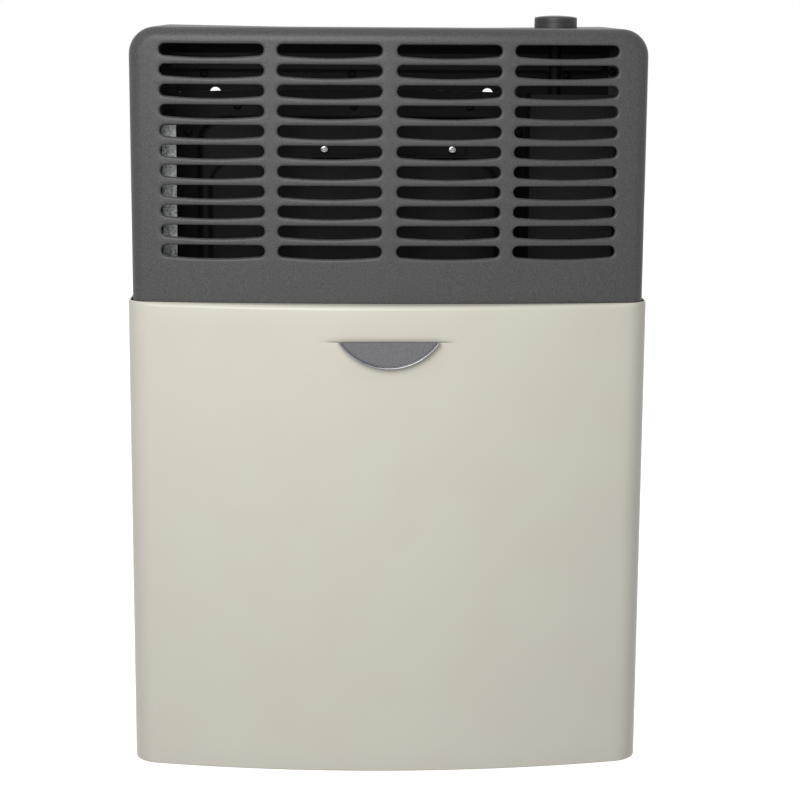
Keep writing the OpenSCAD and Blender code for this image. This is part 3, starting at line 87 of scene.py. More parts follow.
# %% Node and colour helpers
def paint(hex_code):
    """An sRGB hex colour as linear red, green, blue and alpha."""
    parts = [int(hex_code[i:i + 2], 16) / 255 for i in (0, 2, 4)]
    return [c / 12.92 if c <= 0.04045 else ((c + 0.055) / 1.055) ** 2.4 for c in parts] + [1.0]


def add(tree, kind, inputs=None, stops=(), **settings):
    """Adds a node with its settings and stops, and fills or links its named or numbered inputs."""
    node = tree.nodes.new(kind)
    for name, value in settings.items():
        setattr(node, name, value)
    for number, (amount, tone) in enumerate(stops):
        node.color_ramp.elements[number].position = amount
        node.color_ramp.elements[number].color = paint(tone)
    for name, value in (inputs or {}).items():
        if isinstance(value, bpy.types.NodeSocket):
            tree.links.new(value, node.inputs[name])
        else:
            node.inputs[name].default_value = value
    return node


def grains_per_metre(size_mm):
    """The scale of a noise or cell pattern whose grains are so many millimetres wide."""
    return 1 / (size_mm * MM)


# %% [markdown]
# ## Floor, background and light
# The photograph has a plain white background and one broad soft light, in front of the heater,
# a little to the left and above. The world is white to the camera, and in reflections, but it
# lights the object only as a weak fill. The floor is pale and catches the shadow, and shines a
# little to the camera, so that it runs into the white background.

# %% World
FILL_LIGHT = 0.24


def background_rays(tree):
    """One for the rays that see the white background, from the camera or off metal and glass."""
    path = add(tree, "ShaderNodeLightPath")
    rays = path.outputs["Is Camera Ray"]
    for kind in ("Is Glossy Ray", "Is Transmission Ray"):
        either = add(tree, "ShaderNodeMath", {0: rays, 1: path.outputs[kind]}, operation="MAXIMUM")
        rays = either.outputs[0]
    return rays


world = bpy.data.worlds.new("studio")
bpy.context.scene.world = world
world.use_nodes = True
tree = world.node_tree
tree.nodes.clear()
strength = add(tree, "ShaderNodeMapRange",
               {"Value": background_rays(tree), "To Min": FILL_LIGHT, "To Max": 1.0})
sky = add(tree, "ShaderNodeBackground", {"Color": paint("FFFFFF"), "Strength": strength.outputs[0]})
add(tree, "ShaderNodeOutputWorld", {"Surface": sky.outputs[0]})
print("fill light:", FILL_LIGHT)

# %% Floor
FLOOR_Z, FLOOR_HALF = -0.6, 12.0
floor_bm = bmesh.new()
bmesh.ops.create_grid(floor_bm, x_segments=1, y_segments=1, size=FLOOR_HALF)
bmesh.ops.translate(floor_bm, verts=floor_bm.verts, vec=(0, 0, FLOOR_Z))
floor = bpy.data.objects.new("floor", bpy.data.meshes.new("floor"))
floor_bm.to_mesh(floor.data)
floor_bm.free()
bpy.context.scene.collection.objects.link(floor)

floor_paint = bpy.data.materials.new("pale_floor_paint")
floor_paint.use_nodes = True
tree = floor_paint.node_tree
tree.nodes.clear()
matt = add(tree, "ShaderNodeBsdfDiffuse", {"Color": paint("E4E4E4")})
glow = add(tree, "ShaderNodeEmission", {"Color": paint("FFFFFF"), "Strength": background_rays(tree)})
both = add(tree, "ShaderNodeAddShader", {0: matt.outputs[0], 1: glow.outputs[0]})
add(tree, "ShaderNodeOutputMaterial", {"Surface": both.outputs[0]})
floor.data.materials.append(floor_paint)
print("floor at", FLOOR_Z, "m")

# %% Lamps
AIM = Vector((0, -0.1, 0.36))


def soft_lamp(name, azimuth, elevation, distance, size, power):
    """A square lamp that looks at the heater from an angle left of its front and above it."""
    a, e = math.radians(azimuth), math.radians(elevation)
    out = Vector((-math.sin(a) * math.cos(e), -math.cos(a) * math.cos(e), math.sin(e)))
    lamp = bpy.data.objects.new(name, bpy.data.lights.new(name, "AREA"))
    bpy.context.scene.collection.objects.link(lamp)
    lamp.data.size = size
    lamp.data.energy = power
    lamp.location = AIM + out * distance
    lamp.rotation_mode = "QUATERNION"
    lamp.rotation_quaternion = (-out).to_track_quat("-Z", "Y")
    return lamp


key_lamp = soft_lamp("key_lamp", azimuth=14, elevation=28, distance=1.5, size=0.9, power=17)
print("key lamp:", key_lamp.data.energy, "W")

# %% [markdown]
# ## Paints
# The upper casing has a dark grey powder coat with a fine texture: grains about half a
# millimetre wide that give small soft sparkles and hide fingerprints. In the picture such a grain
# is smaller than a pixel, so it is drawn about a millimetre wide. The panel has a smooth cream
# powder coat, whose only texture is a faint waviness called orange peel, a few millimetres wide.
# Most finishes need one noise: it moves the tone between two shades, lifts the surface by a few
# hundredths of a millimetre, and can move the gloss too. One function makes all of those.

# %% Material helpers
def new_material(name):
    """A material, its cleared tree, and the place on the object in metres."""
    material = bpy.data.materials.new(name)
    material.use_nodes = True
    tree = material.node_tree
    tree.nodes.clear()
    return material, tree, add(tree, "ShaderNodeTexCoord").outputs["Object"]


def set_shader(tree, height, depth_mm, inputs):
    """Ends a material's tree with its shader, and with a pattern that lifts its surface."""
    relief = add(tree, "ShaderNodeBump", {"Height": height, "Distance": depth_mm * MM, "Strength": 1.0})
    shader = add(tree, "ShaderNodeBsdfPrincipled", {"Normal": relief.outputs[0], **inputs})
    add(tree, "ShaderNodeOutputMaterial", {"Surface": shader.outputs[0]})


def patterned(name, dark, light, grain_mm, rough, depth_mm, detail=3.0, stretch=None, extra=None):
    """A material whose tone and relief follow one noise, and its gloss too if it is a pair."""
    material, tree, place = new_material(name)
    if stretch:
        place = add(tree, "ShaderNodeMapping", {"Vector": place, "Scale": stretch}).outputs[0]
    pattern = add(tree, "ShaderNodeTexNoise", {"Vector": place, "Scale": grains_per_metre(grain_mm),
                                               "Detail": detail}).outputs["Fac"]
    ramp = add(tree, "ShaderNodeValToRGB", {"Fac": pattern}, stops=((0.35, dark), (0.65, light)))
    if isinstance(rough, tuple):
        rough = add(tree, "ShaderNodeMapRange", {"Value": pattern, "From Min": 0.3, "From Max": 0.7,
                                                 "To Min": rough[0], "To Max": rough[1]}).outputs[0]
    set_shader(tree, pattern, depth_mm,
               {"Base Color": ramp.outputs["Color"], "Roughness": rough, **(extra or {})})
    return material


# %% Paint materials
# The casing: dark, with soft sparkles, and a sheen where a rolled edge turns to the light.
dark_coat = patterned("textured_dark_grey_powder_coat", "424242", "555555", 1.1, 0.4, 0.12,
                      extra={"IOR": 1.5, "Specular IOR Level": 0.3})
# The exchanger: a black that is baked on and stays nearly matt, with a slight grain.
black_enamel = patterned("black_heat_resistant_enamel", "0A0A0A", "101010", 2.0, (0.5, 0.65), 0.05,
                         extra={"IOR": 1.5, "Specular IOR Level": 0.1})
# The back plate and the shelf: sprayed, so smooth and a little shiny.
black_paint = patterned("satin_black_paint_on_sheet", "0B0B0B", "111111", 3.0, 0.5, 0.02, detail=1.0,
                        extra={"IOR": 1.5, "Specular IOR Level": 0.25})
# The shield: a flat primer that hardly shines.
shield_paint = patterned("flat_dark_grey_paint", "151515", "1C1C1C", 2.5, (0.6, 0.72), 0.04, detail=2.0,
                         extra={"IOR": 1.5, "Specular IOR Level": 0.15})

# The panel: a warm pale coat with soft reflections, slightly uneven in tone and in level.
cream_coat, tree, place = new_material("smooth_cream_powder_coat")
cloud = add(tree, "ShaderNodeTexNoise", {"Vector": place, "Scale": grains_per_metre(60), "Detail": 1.0})
ramp = add(tree, "ShaderNodeValToRGB", {"Fac": cloud.outputs["Fac"]},
           stops=((0.35, "DBD6C9"), (0.65, "DCD8CB")))
peel = add(tree, "ShaderNodeTexNoise", {"Vector": place, "Scale": grains_per_metre(3.5), "Detail": 1.0})
set_shader(tree, peel.outputs["Fac"], 0.012,
           {"Base Color": ramp.outputs["Color"], "Roughness": 0.34, "IOR": 1.5})
print("paints made; materials so far:", len(bpy.data.materials))

# %% [markdown]
# ## Metals
# Sheet steel inside the heater is galvanised: the zinc freezes in flat crystals, a millimetre or
# two across, that each reflect at their own angle. Screws are zinc plated, pipes are drawn
# aluminium or copper, the valve is die cast and lightly blasted, and fittings are turned brass.
# All are bare metals, so their colour is in the reflection, and what differs is the size and
# direction of the marks that the making left. Fine marks, such as brushing, are drawn several
# times coarser than they are, or they would vanish in the picture.

# %% Metal materials
def bare_metal(name, dark, light, grain_mm, rough, depth_mm, stretch=None):
    """A bare metal with marks of a size, which a small number draws out along its axis."""
    return patterned(name, dark, light, grain_mm, rough, depth_mm, stretch=stretch,
                     extra={"Metallic": 1.0})


# The rails and the tray: a patchwork of pale and dark crystals under a light frost.
galvanised, tree, place = new_material("galvanised_sheet_steel")
crystals = add(tree, "ShaderNodeTexVoronoi", {"Vector": place, "Scale": grains_per_metre(1.3)})
tone = add(tree, "ShaderNodeSeparateColor", {"Color": crystals.outputs["Color"]}).outputs[0]
ramp = add(tree, "ShaderNodeValToRGB", {"Fac": tone}, stops=((0.05, "76797A"), (0.95, "A9ABAB")))
gloss = add(tree, "ShaderNodeMapRange", {"Value": tone, "From Min": 0.3, "From Max": 0.7,
                                         "To Min": 0.28, "To Max": 0.5})
frost = add(tree, "ShaderNodeTexNoise", {"Vector": place, "Scale": grains_per_metre(0.9), "Detail": 2.0})
set_shader(tree, frost.outputs["Fac"], 0.02,
           {"Base Color": ramp.outputs["Color"], "Metallic": 1.0, "Roughness": gloss.outputs[0]})

# Burner and flue: a dull silver skin, clouded by the dip.
aluminised = bare_metal("aluminium_coated_steel", "9FA1A0", "BDBFBE", 6.0, (0.34, 0.48), 0.015)
# Screws: a clean silver that shines in small spots.
zinc_plate = bare_metal("zinc_plated_steel", "969895", "B2B4B0", 1.5, (0.15, 0.24), 0.006)
# Brackets near the flame: browned in wide patches by the heat.
bracket_steel = bare_metal("heat_stained_plain_steel", "5C5854", "85827E", 9.0, (0.42, 0.6), 0.02)
# Pilot and probe: fine upright drawing marks with a warm shine.
stainless = bare_metal("satin_stainless_steel", "A39F99", "BDBAB5", 0.8, (0.26, 0.38), 0.008, (1, 1, 0.1))
# The return spring: plain wire with a thin bright line along each turn.
spring_wire = bare_metal("drawn_spring_wire", "8A8A88", "A9A9A6", 0.6, (0.25, 0.4), 0.006)
# Nuts and unions: yellow, smooth from the lathe.
brass = bare_metal("turned_brass", "A98543", "C9A55F", 1.2, (0.22, 0.36), 0.008)
# Capillary and lead: copper that has dulled to brown in places.
copper = bare_metal("dulled_drawn_copper", "8F5138", "B8714F", 3.0, (0.32, 0.5), 0.01)
# The valve: a grey, sandy casting without mirror reflections.
cast_aluminium = bare_metal("blasted_die_cast_aluminium", "8F9192", "A9ABAB", 0.9, (0.45, 0.6), 0.05)
# Gas pipes: pale, with faint marks along their upright runs.
tube_aluminium = bare_metal("drawn_aluminium_tube", "A5A7A8", "C0C2C2", 1.0, (0.3, 0.42), 0.008,
                            (1, 1, 0.15))
# The pull's rim: a smooth plate that mirrors the room.
chrome = bare_metal("bright_chrome_plate", "7E7F81", "8E8F92", 8.0, (0.16, 0.26), 0.002)
# The pull's face: grey, brushed from side to side.
dark_nickel = bare_metal("brushed_dark_nickel", "5F5F61", "737375", 0.6, (0.32, 0.42), 0.008, (0.5, 1, 1))
print("metals made; materials so far:", len(bpy.data.materials))

# %% [markdown]
# ## Plastics, ceramic, glass and gaskets
# The knob and the igniter are moulded plastic with a very fine spark-eroded texture, the catches
# are natural nylon, which light enters a little, and the electrode is glazed ceramic. The lead
# has a silicone sleeve. Gaskets are pressed mineral fibre, so they are matt and felted. The
# sight glass is a clear heat-resistant glass.

# %% Plastic, ceramic, glass and gasket materials
# The knob: soft grey highlights on its rounded edge.
knob_plastic = patterned("moulded_dark_grey_abs", "2A2A2A", "303030", 0.8, 0.45, 0.02)
# Its cap: the same plastic from a smoother mould, so a little lighter and shinier.
cap_plastic = patterned("satin_dark_grey_abs_cap", "303030", "363636", 0.8, 0.38, 0.01)
# The igniter: a hard black resin with a low shine.
black_plastic = patterned("moulded_black_phenolic", "1B1B1D", "242426", 1.0, 0.4, 0.02)
# The catches: milky, as light goes a millimetre or two into them.
nylon = patterned("natural_nylon", "D8D6CC", "E2E0D8", 3.0, 0.4, 0.01,
                  extra={"Subsurface Weight": 0.2, "Subsurface Radius": (0.002, 0.0018, 0.0015)})
# The electrode: white under a wet-looking glaze.
ceramic = patterned("white_glazed_ceramic", "E2DFD6", "ECEAE3", 6.0, 0.16, 0.004,
                    extra={"Coat Weight": 0.4})
# The ignition lead: an off-white rubber without a shine.
silicone = patterned("white_silicone_sleeve", "C9C7C0", "D4D2CC", 1.5, 0.55, 0.01)
# Gaskets: a felt of pale and dark fibres, drawn a little coarser than it is.
fibre = patterned("pressed_mineral_fibre", "B9B4A8", "D6D2C8", 0.9, 0.9, 0.15)

# The sight glass: clear, slightly green, with faint waves from rolling.
sight_glass, tree, place = new_material("clear_heat_resistant_glass")
waves = add(tree, "ShaderNodeTexNoise", {"Vector": place, "Scale": grains_per_metre(8), "Detail": 1.0})
set_shader(tree, waves.outputs["Fac"], 0.004,
           {"Base Color": paint("F2F7F6"), "Transmission Weight": 1.0, "Roughness": 0.03, "IOR": 1.47})
print("all finishes made; materials:", len(bpy.data.materials))

# %% [markdown]
# ## Finishes on the CAD nodes
# A node whose shape is right keeps its solid and only gets a finish. The record says which
# material slot each node has, so one table from slots to materials dresses all of them.

# %% Give every CAD node its finish
FINISHES = {
    "dark_powder_coat": dark_coat, "cream_powder_coat": cream_coat, "black_enamel": black_enamel,
    "black_sheet_paint": black_paint, "grey_shield_paint": shield_paint, "zinc_steel": zinc_plate,
    "galvanised_sheet": galvanised, "aluminised_steel": aluminised, "bracket_steel": bracket_steel,
    "stainless_steel": stainless, "spring_steel": spring_wire, "brass_fitting": brass,
    "copper_part": copper, "cast_aluminium": cast_aluminium, "aluminium_tube": tube_aluminium,
    "dark_nickel": dark_nickel, "bright_chrome": chrome, "knob_plastic": knob_plastic,
    "knob_cap_plastic": cap_plastic, "igniter_plastic": black_plastic, "nylon_catch": nylon,
    "white_ceramic": ceramic, "sight_glass": sight_glass, "lead_rubber": silicone,
    "fibre_gasket": fibre,
}
for entry in frame["record"]["subparts"]:
    node_mesh = frame["nodes"][entry["node"]].data
    node_mesh.materials.clear()
    node_mesh.materials.append(FINISHES[entry["material_slot"]])

# %% [markdown]
# ## Modelling helpers
# Pieces are modelled in millimetres, in the place where they belong, and scaled to metres at the
# end, so that every number can be read as on a drawing. Sizes that the CAD has fixed are read
# from its nodes' boxes. A loft skins a row of outlines that have the same number of points. A
# sweep extrudes a run of edges again and again, and moves the new edge each time, which is how a
# press brake or a die bends a sheet round an edge.

# %% Measuring helpers
def node_box(node):
    """A CAD node's lowest and highest X, Y and Z, to a tenth of a millimetre."""
    corners = [Vector(corner) / MM for corner in frame["nodes"][node].bound_box]
    return [[round(pick(corner[axis] for corner in corners), 1) for axis in range(3)]
            for pick in (min, max)]


def share(value, start, end):
    """How far a value has come from a start to an end, between zero and one."""
    return min(max((value - start) / (end - start), 0), 1)


def bow(x, radius):
    """How far a bowed front falls back at a distance from its middle."""
    return radius - math.sqrt(radius * radius - x * x)


print("casing box in mm:", node_box("grille_casing"))

# %% Modelling helpers
def loft(bm, outlines):
    """Skins closed outlines, each a list of places, one after another."""
    loops = []
    for outline in outlines:
        verts = bmesh.ops.create_circle(bm, segments=len(outline), radius=1)["verts"]
        for vert, place in zip(verts, outline):
            vert.co = place
        loops.append(list(dict.fromkeys(edge for vert in verts for edge in vert.link_edges)))
    for first, second in zip(loops, loops[1:]):
        bmesh.ops.bridge_loops(bm, edges=first + second)
    return loops


def closed_loft(bm, outlines):
    """A loft whose first and last outlines are filled."""
    loops = loft(bm, outlines)
    for loop in (loops[0], loops[-1]):
        bmesh.ops.edgeloop_fill(bm, edges=loop)


def ring_facing_y(x, y, z, radius, steps):
    """A circle that faces along Y."""
    turn = [math.radians(360 / steps * i) for i in range(steps)]
    return [(x + radius * math.cos(a), y, z + radius * math.sin(a)) for a in turn]


def sweep(bm, edges, moves):
    """Extrudes edges once for each move, which turns a place into the next one."""
    for move in moves:
        made = bmesh.ops.extrude_edge_only(bm, edges=edges)["geom"]
        verts = {item for item in made if isinstance(item, bmesh.types.BMVert)}
        edges = [item for item in made
                 if isinstance(item, bmesh.types.BMEdge) and all(vert in verts for vert in item.verts)]
        for vert in verts:
            vert.co = move(vert.co.copy())
    return edges


def face_outwards(bm, direction):
    """Turns all faces the same way, so that the one furthest in a direction looks that way."""
    bmesh.ops.recalc_face_normals(bm, faces=bm.faces)
    direction = Vector(direction)
    furthest = max(bm.faces, key=lambda face: face.calc_center_median().dot(direction))
    if furthest.normal.dot(direction) < 0:
        bmesh.ops.reverse_faces(bm, faces=bm.faces)


def make_piece(name, bm, body, material, replaced=(), sheet_mm=0.0, outwards=(0, -1, 0),
               sharp_from=38):
    """Turns a bmesh in millimetres into a piece in metres that rides on a body."""
    bmesh.ops.remove_doubles(bm, verts=bm.verts, dist=0.002)
    face_outwards(bm, outwards)
    bmesh.ops.transform(bm, matrix=Matrix.Scale(MM, 4), verts=bm.verts)
    for face in bm.faces:
        face.smooth = True
    for edge in bm.edges:
        edge.smooth = edge.is_manifold and edge.calc_face_angle() < math.radians(sharp_from)
    mesh = bpy.data.meshes.new(name)
    bm.to_mesh(mesh)
    bm.free()
    mesh.materials.append(material)
    piece = bpy.data.objects.new(name, mesh)
    bpy.context.scene.collection.objects.link(piece)
    if sheet_mm:
        thicken = piece.modifiers.new("sheet", "SOLIDIFY")
        thicken.thickness = sheet_mm * MM
        thicken.offset = -1
        thicken.use_even_offset = True
    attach(piece, body)
    if replaced:
        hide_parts(*replaced)
    print(name, "has", len(mesh.polygons), "faces")
    return piece


# %% [markdown]
# ## The slotted casing
# The upper casing is one pressed sheet. Each slot is pierced, and its edge is then rolled
# inwards, so the bars between the slots look round: light on their upper side and dark below.
# One slot is modelled as a cell: a frame of flat sheet, whose inner edge rolls in. Cells in a
# row share their borders, so eleven rows of four join into one sheet. The flat front then gets
# its border, its rounded edge, its bow and its sides, in the order of the real press tools.

# %% One slot with its border
# A slot's lower edge dips in its middle. The roll has a radius and then a short straight lip.
SLOT_LEN, SLOT_H, SLOT_R, SLOT_DIP = 85.8, 9.4, 4.5, 1.7
SLOT_HALF, SLOT_FLAT, PAST_SLOT = SLOT_LEN / 2 - SLOT_R, SLOT_H / 2 - SLOT_R, 3.4
ROLL_R, LIP = 2.3, 1.6
ROW_PITCH, ROWS, TOP_ROW_Z = 16.5, 11, 611.1
COLUMN_X, GRID_HALF = (-145.9, -49.1, 49.1, 145.9), 194.3
TOP_STEPS, END_STEPS = 12, 8


def slot_outline(grow):
    """The slot's outline in X and Z, grown by a distance, with its lower edge dipped."""
    top = [(-SLOT_HALF + 2 * SLOT_HALF * i / TOP_STEPS, SLOT_H / 2 + grow) for i in range(TOP_STEPS + 1)]
    end = []
    for j in range(1, END_STEPS):
        angle = math.pi / 2 - math.pi * j / END_STEPS
        rise = SLOT_FLAT * ((math.sin(angle) > 0.01) - (math.sin(angle) < -0.01))
        end.append((SLOT_HALF + (SLOT_R + grow) * math.cos(angle),
                    rise + (SLOT_R + grow) * math.sin(angle)))
    low = [(-x, -z - SLOT_DIP * (1 - (x / SLOT_HALF) ** 2)) for x, z in top]
    other_end = [(-x, z) for x, z in reversed(end)]
    return [(x, z + SLOT_DIP / 2) for x, z in top + end + low + other_end]


def cell_border(left, right, half_h):
    """The border of a cell, with the same number of points as the slot."""
    top = [(x, half_h) for x, _ in slot_outline(0)[:TOP_STEPS + 1]]
    low = [(-x, -z) for x, z in top]
    ends = {}
    for side, edge in ((1, right), (-1, left)):
        past_slot = side * (SLOT_HALF + PAST_SLOT)
        ends[side] = [(past_slot, half_h), (edge, half_h), (edge, half_h / 2), (edge, 0),
                      (edge, -half_h / 2), (edge, -half_h), (past_slot, -half_h)]
    return top + ends[1] + low + list(reversed(ends[-1]))


print("a slot's outline has", len(slot_outline(0)), "points")

# %% Eleven rows of four slots
borders = [-GRID_HALF, *[(a + b) / 2 for a, b in zip(COLUMN_X, COLUMN_X[1:])], GRID_HALF]
roll = [(ROLL_R * (1 - math.sin(math.radians(a))), ROLL_R * (1 - math.cos(math.radians(a))))
        for a in range(0, 91, 15)]
roll.append((0.0, ROLL_R + LIP))

casing_bm = bmesh.new()
for left, middle, right in zip(borders, COLUMN_X, borders[1:]):
    outlines = [[(middle + x, 0, TOP_ROW_Z + z)
                 for x, z in cell_border(left - middle, right - middle, ROW_PITCH / 2)]]
    outlines += [[(middle + x, depth, TOP_ROW_Z + z) for x, z in slot_outline(grow)]
                 for grow, depth in roll]
    loft(casing_bm, outlines)
one_row = casing_bm.verts[:] + casing_bm.edges[:] + casing_bm.faces[:]
for row in range(1, ROWS):
    copy = bmesh.ops.duplicate(casing_bm, geom=one_row)["geom"]
    bmesh.ops.translate(casing_bm, verts=[item for item in copy if isinstance(item, bmesh.types.BMVert)],
                        vec=(0, 0, -row * ROW_PITCH))
bmesh.ops.remove_doubles(casing_bm, verts=casing_bm.verts, dist=0.01)
print("grille:", len(casing_bm.faces), "faces")

# %% The casing's flat front
casing_low, casing_high = node_box("grille_casing")
CASING_HALF, REAR_Y, CASING_TOP = casing_high
CASING_DEPTH, CASING_LOW = -casing_low[1], casing_low[2]
CASING_BOW, CORNER_R, EDGE_R, CASING_FLANGE = 1840.0, 22.5, 10.4, 14.0
GRID_TOP = TOP_ROW_Z + ROW_PITCH / 2
GRID_LOW = GRID_TOP - ROWS * ROW_PITCH
corner_x, corner_z = CASING_HALF - CORNER_R, CASING_TOP - CORNER_R
face_x, face_top = CASING_HALF - EDGE_R, CASING_TOP - EDGE_R
ALONG, LOW_LEVELS, GRID_CLEAR = 8.0, (418, 399), 0.5

# The top row's cells are stretched nearly up to the rounded edge.
for vert in casing_bm.verts:
    if vert.co.z > GRID_TOP - 0.1:
        vert.co.z = face_top - GRID_CLEAR
grid_edges = [edge for edge in casing_bm.edges if edge.is_boundary and
              all(abs(v.co.y) < 0.001 for v in edge.verts) and
              (all(abs(abs(v.co.x) - GRID_HALF) < 0.01 for v in edge.verts) or
               all(v.co.z > GRID_TOP - 5 for v in edge.verts) or
               all(v.co.z < GRID_LOW + 0.01 for v in edge.verts))]

# The face's border runs from the middle of the top to the right and back round the left.
inner_r = CORNER_R - EDGE_R
right_half = [(ALONG * i, face_top) for i in range(24)]
right_half += [(corner_x + inner_r * math.sin(a), corner_z + inner_r * math.cos(a))
               for a in [math.radians(10 * k) for k in range(10)]]
right_half += [(face_x, z) for z in [GRID_TOP - ROW_PITCH * i for i in range(1, ROWS + 1)]
               if z < corner_z - 1]
right_half += [(face_x, z) for z in LOW_LEVELS]
bottom = [(face_x, CASING_LOW)] + [(ALONG * i, CASING_LOW) for i in range(25, -1, -1)]
border = right_half + bottom
border += [(-x, z) for x, z in reversed(bottom[:-1])] + [(-x, z) for x, z in reversed(right_half[1:])]
border_edges = loft(casing_bm, [[(x, 0, z) for x, z in border]])[0]
bmesh.ops.triangle_fill(casing_bm, use_beauty=True, edges=grid_edges + border_edges, normal=(0, -1, 0))
print("flat front:", len(casing_bm.faces), "faces")

# %% The casing's rounded edge, bow, sides and rear flange
ROUND_STEPS = 8


def out_of_arch(place):
    """The direction out of the casing's front outline at a place, in X and Z."""
    side = 1 if place.x > 0 else -1
    if place.z <= corner_z:
        return Vector((side, 0, 0))
    if abs(place.x) <= corner_x:
        return Vector((0, 0, 1))
    return Vector((place.x - side * corner_x, 0, place.z - corner_z)).normalized()


turns = [math.radians(90 * k / ROUND_STEPS) for k in range(ROUND_STEPS + 1)]
rounding = [lambda p, a=a, b=b: p + out_of_arch(p) * EDGE_R * (math.sin(b) - math.sin(a)) +
            Vector((0, EDGE_R * (math.cos(a) - math.cos(b)), 0)) for a, b in zip(turns, turns[1:])]
rim = [edge for edge in border_edges if not all(v.co.z < CASING_LOW + 0.01 for v in edge.verts)]
rim = sweep(casing_bm, rim, rounding)
for vert in casing_bm.verts:
    vert.co.y += bow(vert.co.x, CASING_BOW) - CASING_DEPTH
rim = sweep(casing_bm, rim, [lambda p: Vector((p.x, REAR_Y, p.z))])
flange = [edge for edge in rim if all(abs(v.co.x) > corner_x - 0.01 for v in edge.verts)]
sweep(casing_bm, flange, [lambda p: p - out_of_arch(p) * CASING_FLANGE])
print("casing:", len(casing_bm.faces), "faces")

# %% The knob's hole, and the slight fall of the top towards the wall
knob_low, knob_high = node_box("control_knob")
KNOB_X, KNOB_Y = (knob_low[0] + knob_high[0]) / 2, (knob_low[1] + knob_high[1]) / 2
KNOB_R, KNOB_GAP, CUT_AROUND = knob_high[0] - KNOB_X, 0.9, 8.0
TOP_FALL, FALL_DEPTH, FALL_FADE = 1.4, 160.0, 100.0


def knob_ring(radius, z, steps=72):
    """A circle round the knob's axis."""
    turn = [math.radians(360 / steps * i) for i in range(steps)]
    return [(KNOB_X + radius * math.cos(a), KNOB_Y + radius * math.sin(a), z) for a in turn]


around_knob = [face for face in casing_bm.faces
               if all(abs(v.co.z - CASING_TOP) < 0.01 for v in face.verts)
               and abs(face.calc_center_median().x - KNOB_X) < KNOB_R + CUT_AROUND]
hole_edges = [edge for face in around_knob for edge in face.edges
              if sum(f in around_knob for f in edge.link_faces) == 1]
bmesh.ops.delete(casing_bm, geom=around_knob, context="FACES_KEEP_BOUNDARY")
hole_loop = loft(casing_bm, [knob_ring(KNOB_R + KNOB_GAP, CASING_TOP, 60)])[0]
bmesh.ops.triangle_fill(casing_bm, use_beauty=True, edges=hole_edges + hole_loop, normal=(0, 0, 1))
for vert in casing_bm.verts:
    backwards = share(vert.co.y, -FALL_DEPTH, 0)
    upwards = share(vert.co.z, corner_z, CASING_TOP)
    inwards = share(abs(vert.co.x), corner_x, corner_x - FALL_FADE)
    vert.co.z -= TOP_FALL * backwards * upwards * inwards
make_piece("slotted_casing", casing_bm, "heater", dark_coat, ["grille_casing"],
           sheet_mm=1.0)

# %% [markdown]
# ## The front panel
# The panel is one sheet, bent round two upright corners and bowed between them. Its top edge is
# folded back towards the casing, with a round edge that catches the light, and its lower edge is
# folded in. In its middle, near the top, the sheet is cut along a short level line, pressed out
# below it and turned in above it, which makes the finger grip with its half-moon plate. The
# outline seen from above is spun and extruded, then swept upwards, and the grip is pushed out of
# the mesh.

# %% Where the panel's outside faces, and how far the casing is from it
PANEL_HALF, PANEL_REAR, PANEL_H = node_box("front_panel")[1]
PANEL_DEPTH, PANEL_BOW, PANEL_CORNER = 190.0, 926.0, 24.0
PROBE_STEP, FARTHEST = 0.1, 40
panel_x = PANEL_HALF - PANEL_CORNER
bow_y = PANEL_BOW - PANEL_DEPTH
panel_y = bow_y - math.sqrt((PANEL_BOW - PANEL_CORNER) ** 2 - panel_x ** 2)
lean = math.asin(panel_x / (PANEL_BOW - PANEL_CORNER))


def out_of_panel(place):
    """The direction out of the panel at a place, seen from above."""
    side = 1 if place.x > 0 else -1
    if place.y > panel_y:
        return Vector((side, 0, 0))
    if abs(place.x) > PANEL_BOW * math.sin(lean):
        return Vector((place.x - side * panel_x, place.y - panel_y, 0)).normalized()
    return Vector((place.x, place.y - bow_y, 0)).normalized()


def inside_casing(place):
    """True if a place, seen from above, is inside the upper casing."""
    x = abs(place.x)
    if x > CASING_HALF:
        return False
    front = bow(x, CASING_BOW) - CASING_DEPTH
    if x > face_x:
        front += EDGE_R - math.sqrt(max(EDGE_R ** 2 - (x - face_x) ** 2, 0))
    return place.y > front


def casing_gap(place):
    """The distance from the panel's outside, inwards, to the upper casing."""
    inwards = -out_of_panel(place)
    steps = range(1, round(FARTHEST / PROBE_STEP))
    return next((step * PROBE_STEP for step in steps
                 if inside_casing(place + inwards * step * PROBE_STEP)), FARTHEST)


print("panel: lean at the corners", round(math.degrees(lean), 1), "degrees")

# %% The panel's outline, seen from above
SIDE_Y, CORNER_STEPS, BOW_STEPS = (-40, -76, -112), 14, 112


def extend(bm, verts, y):
    """Extrudes the last vertex of a line along Y to a place."""
    verts = bmesh.ops.extrude_vert_indiv(bm, verts=verts)["verts"]
    verts[0].co.y = y
    return verts


panel_bm = bmesh.new()
tip = bmesh.ops.create_vert(panel_bm, co=(-PANEL_HALF, PANEL_REAR, 0))["vert"]
for y in (*SIDE_Y, panel_y):
    tip = extend(panel_bm, tip, y)
spins = (((-panel_x, panel_y, 0), math.pi / 2 - lean, CORNER_STEPS),
         ((0, bow_y, 0), 2 * lean, BOW_STEPS),
         ((panel_x, panel_y, 0), math.pi / 2 - lean, CORNER_STEPS))
for centre, angle, steps in spins:
    spun = bmesh.ops.spin(panel_bm, geom=tip, cent=centre, axis=(0, 0, 1), angle=angle, steps=steps)
    tip = [item for item in spun["geom_last"] if isinstance(item, bmesh.types.BMVert)]
for y in (*reversed(SIDE_Y), PANEL_REAR):
    tip = extend(panel_bm, tip, y)
print("panel outline:", len(panel_bm.verts), "points, ends at", [round(v, 1) for v in tip[0].co])

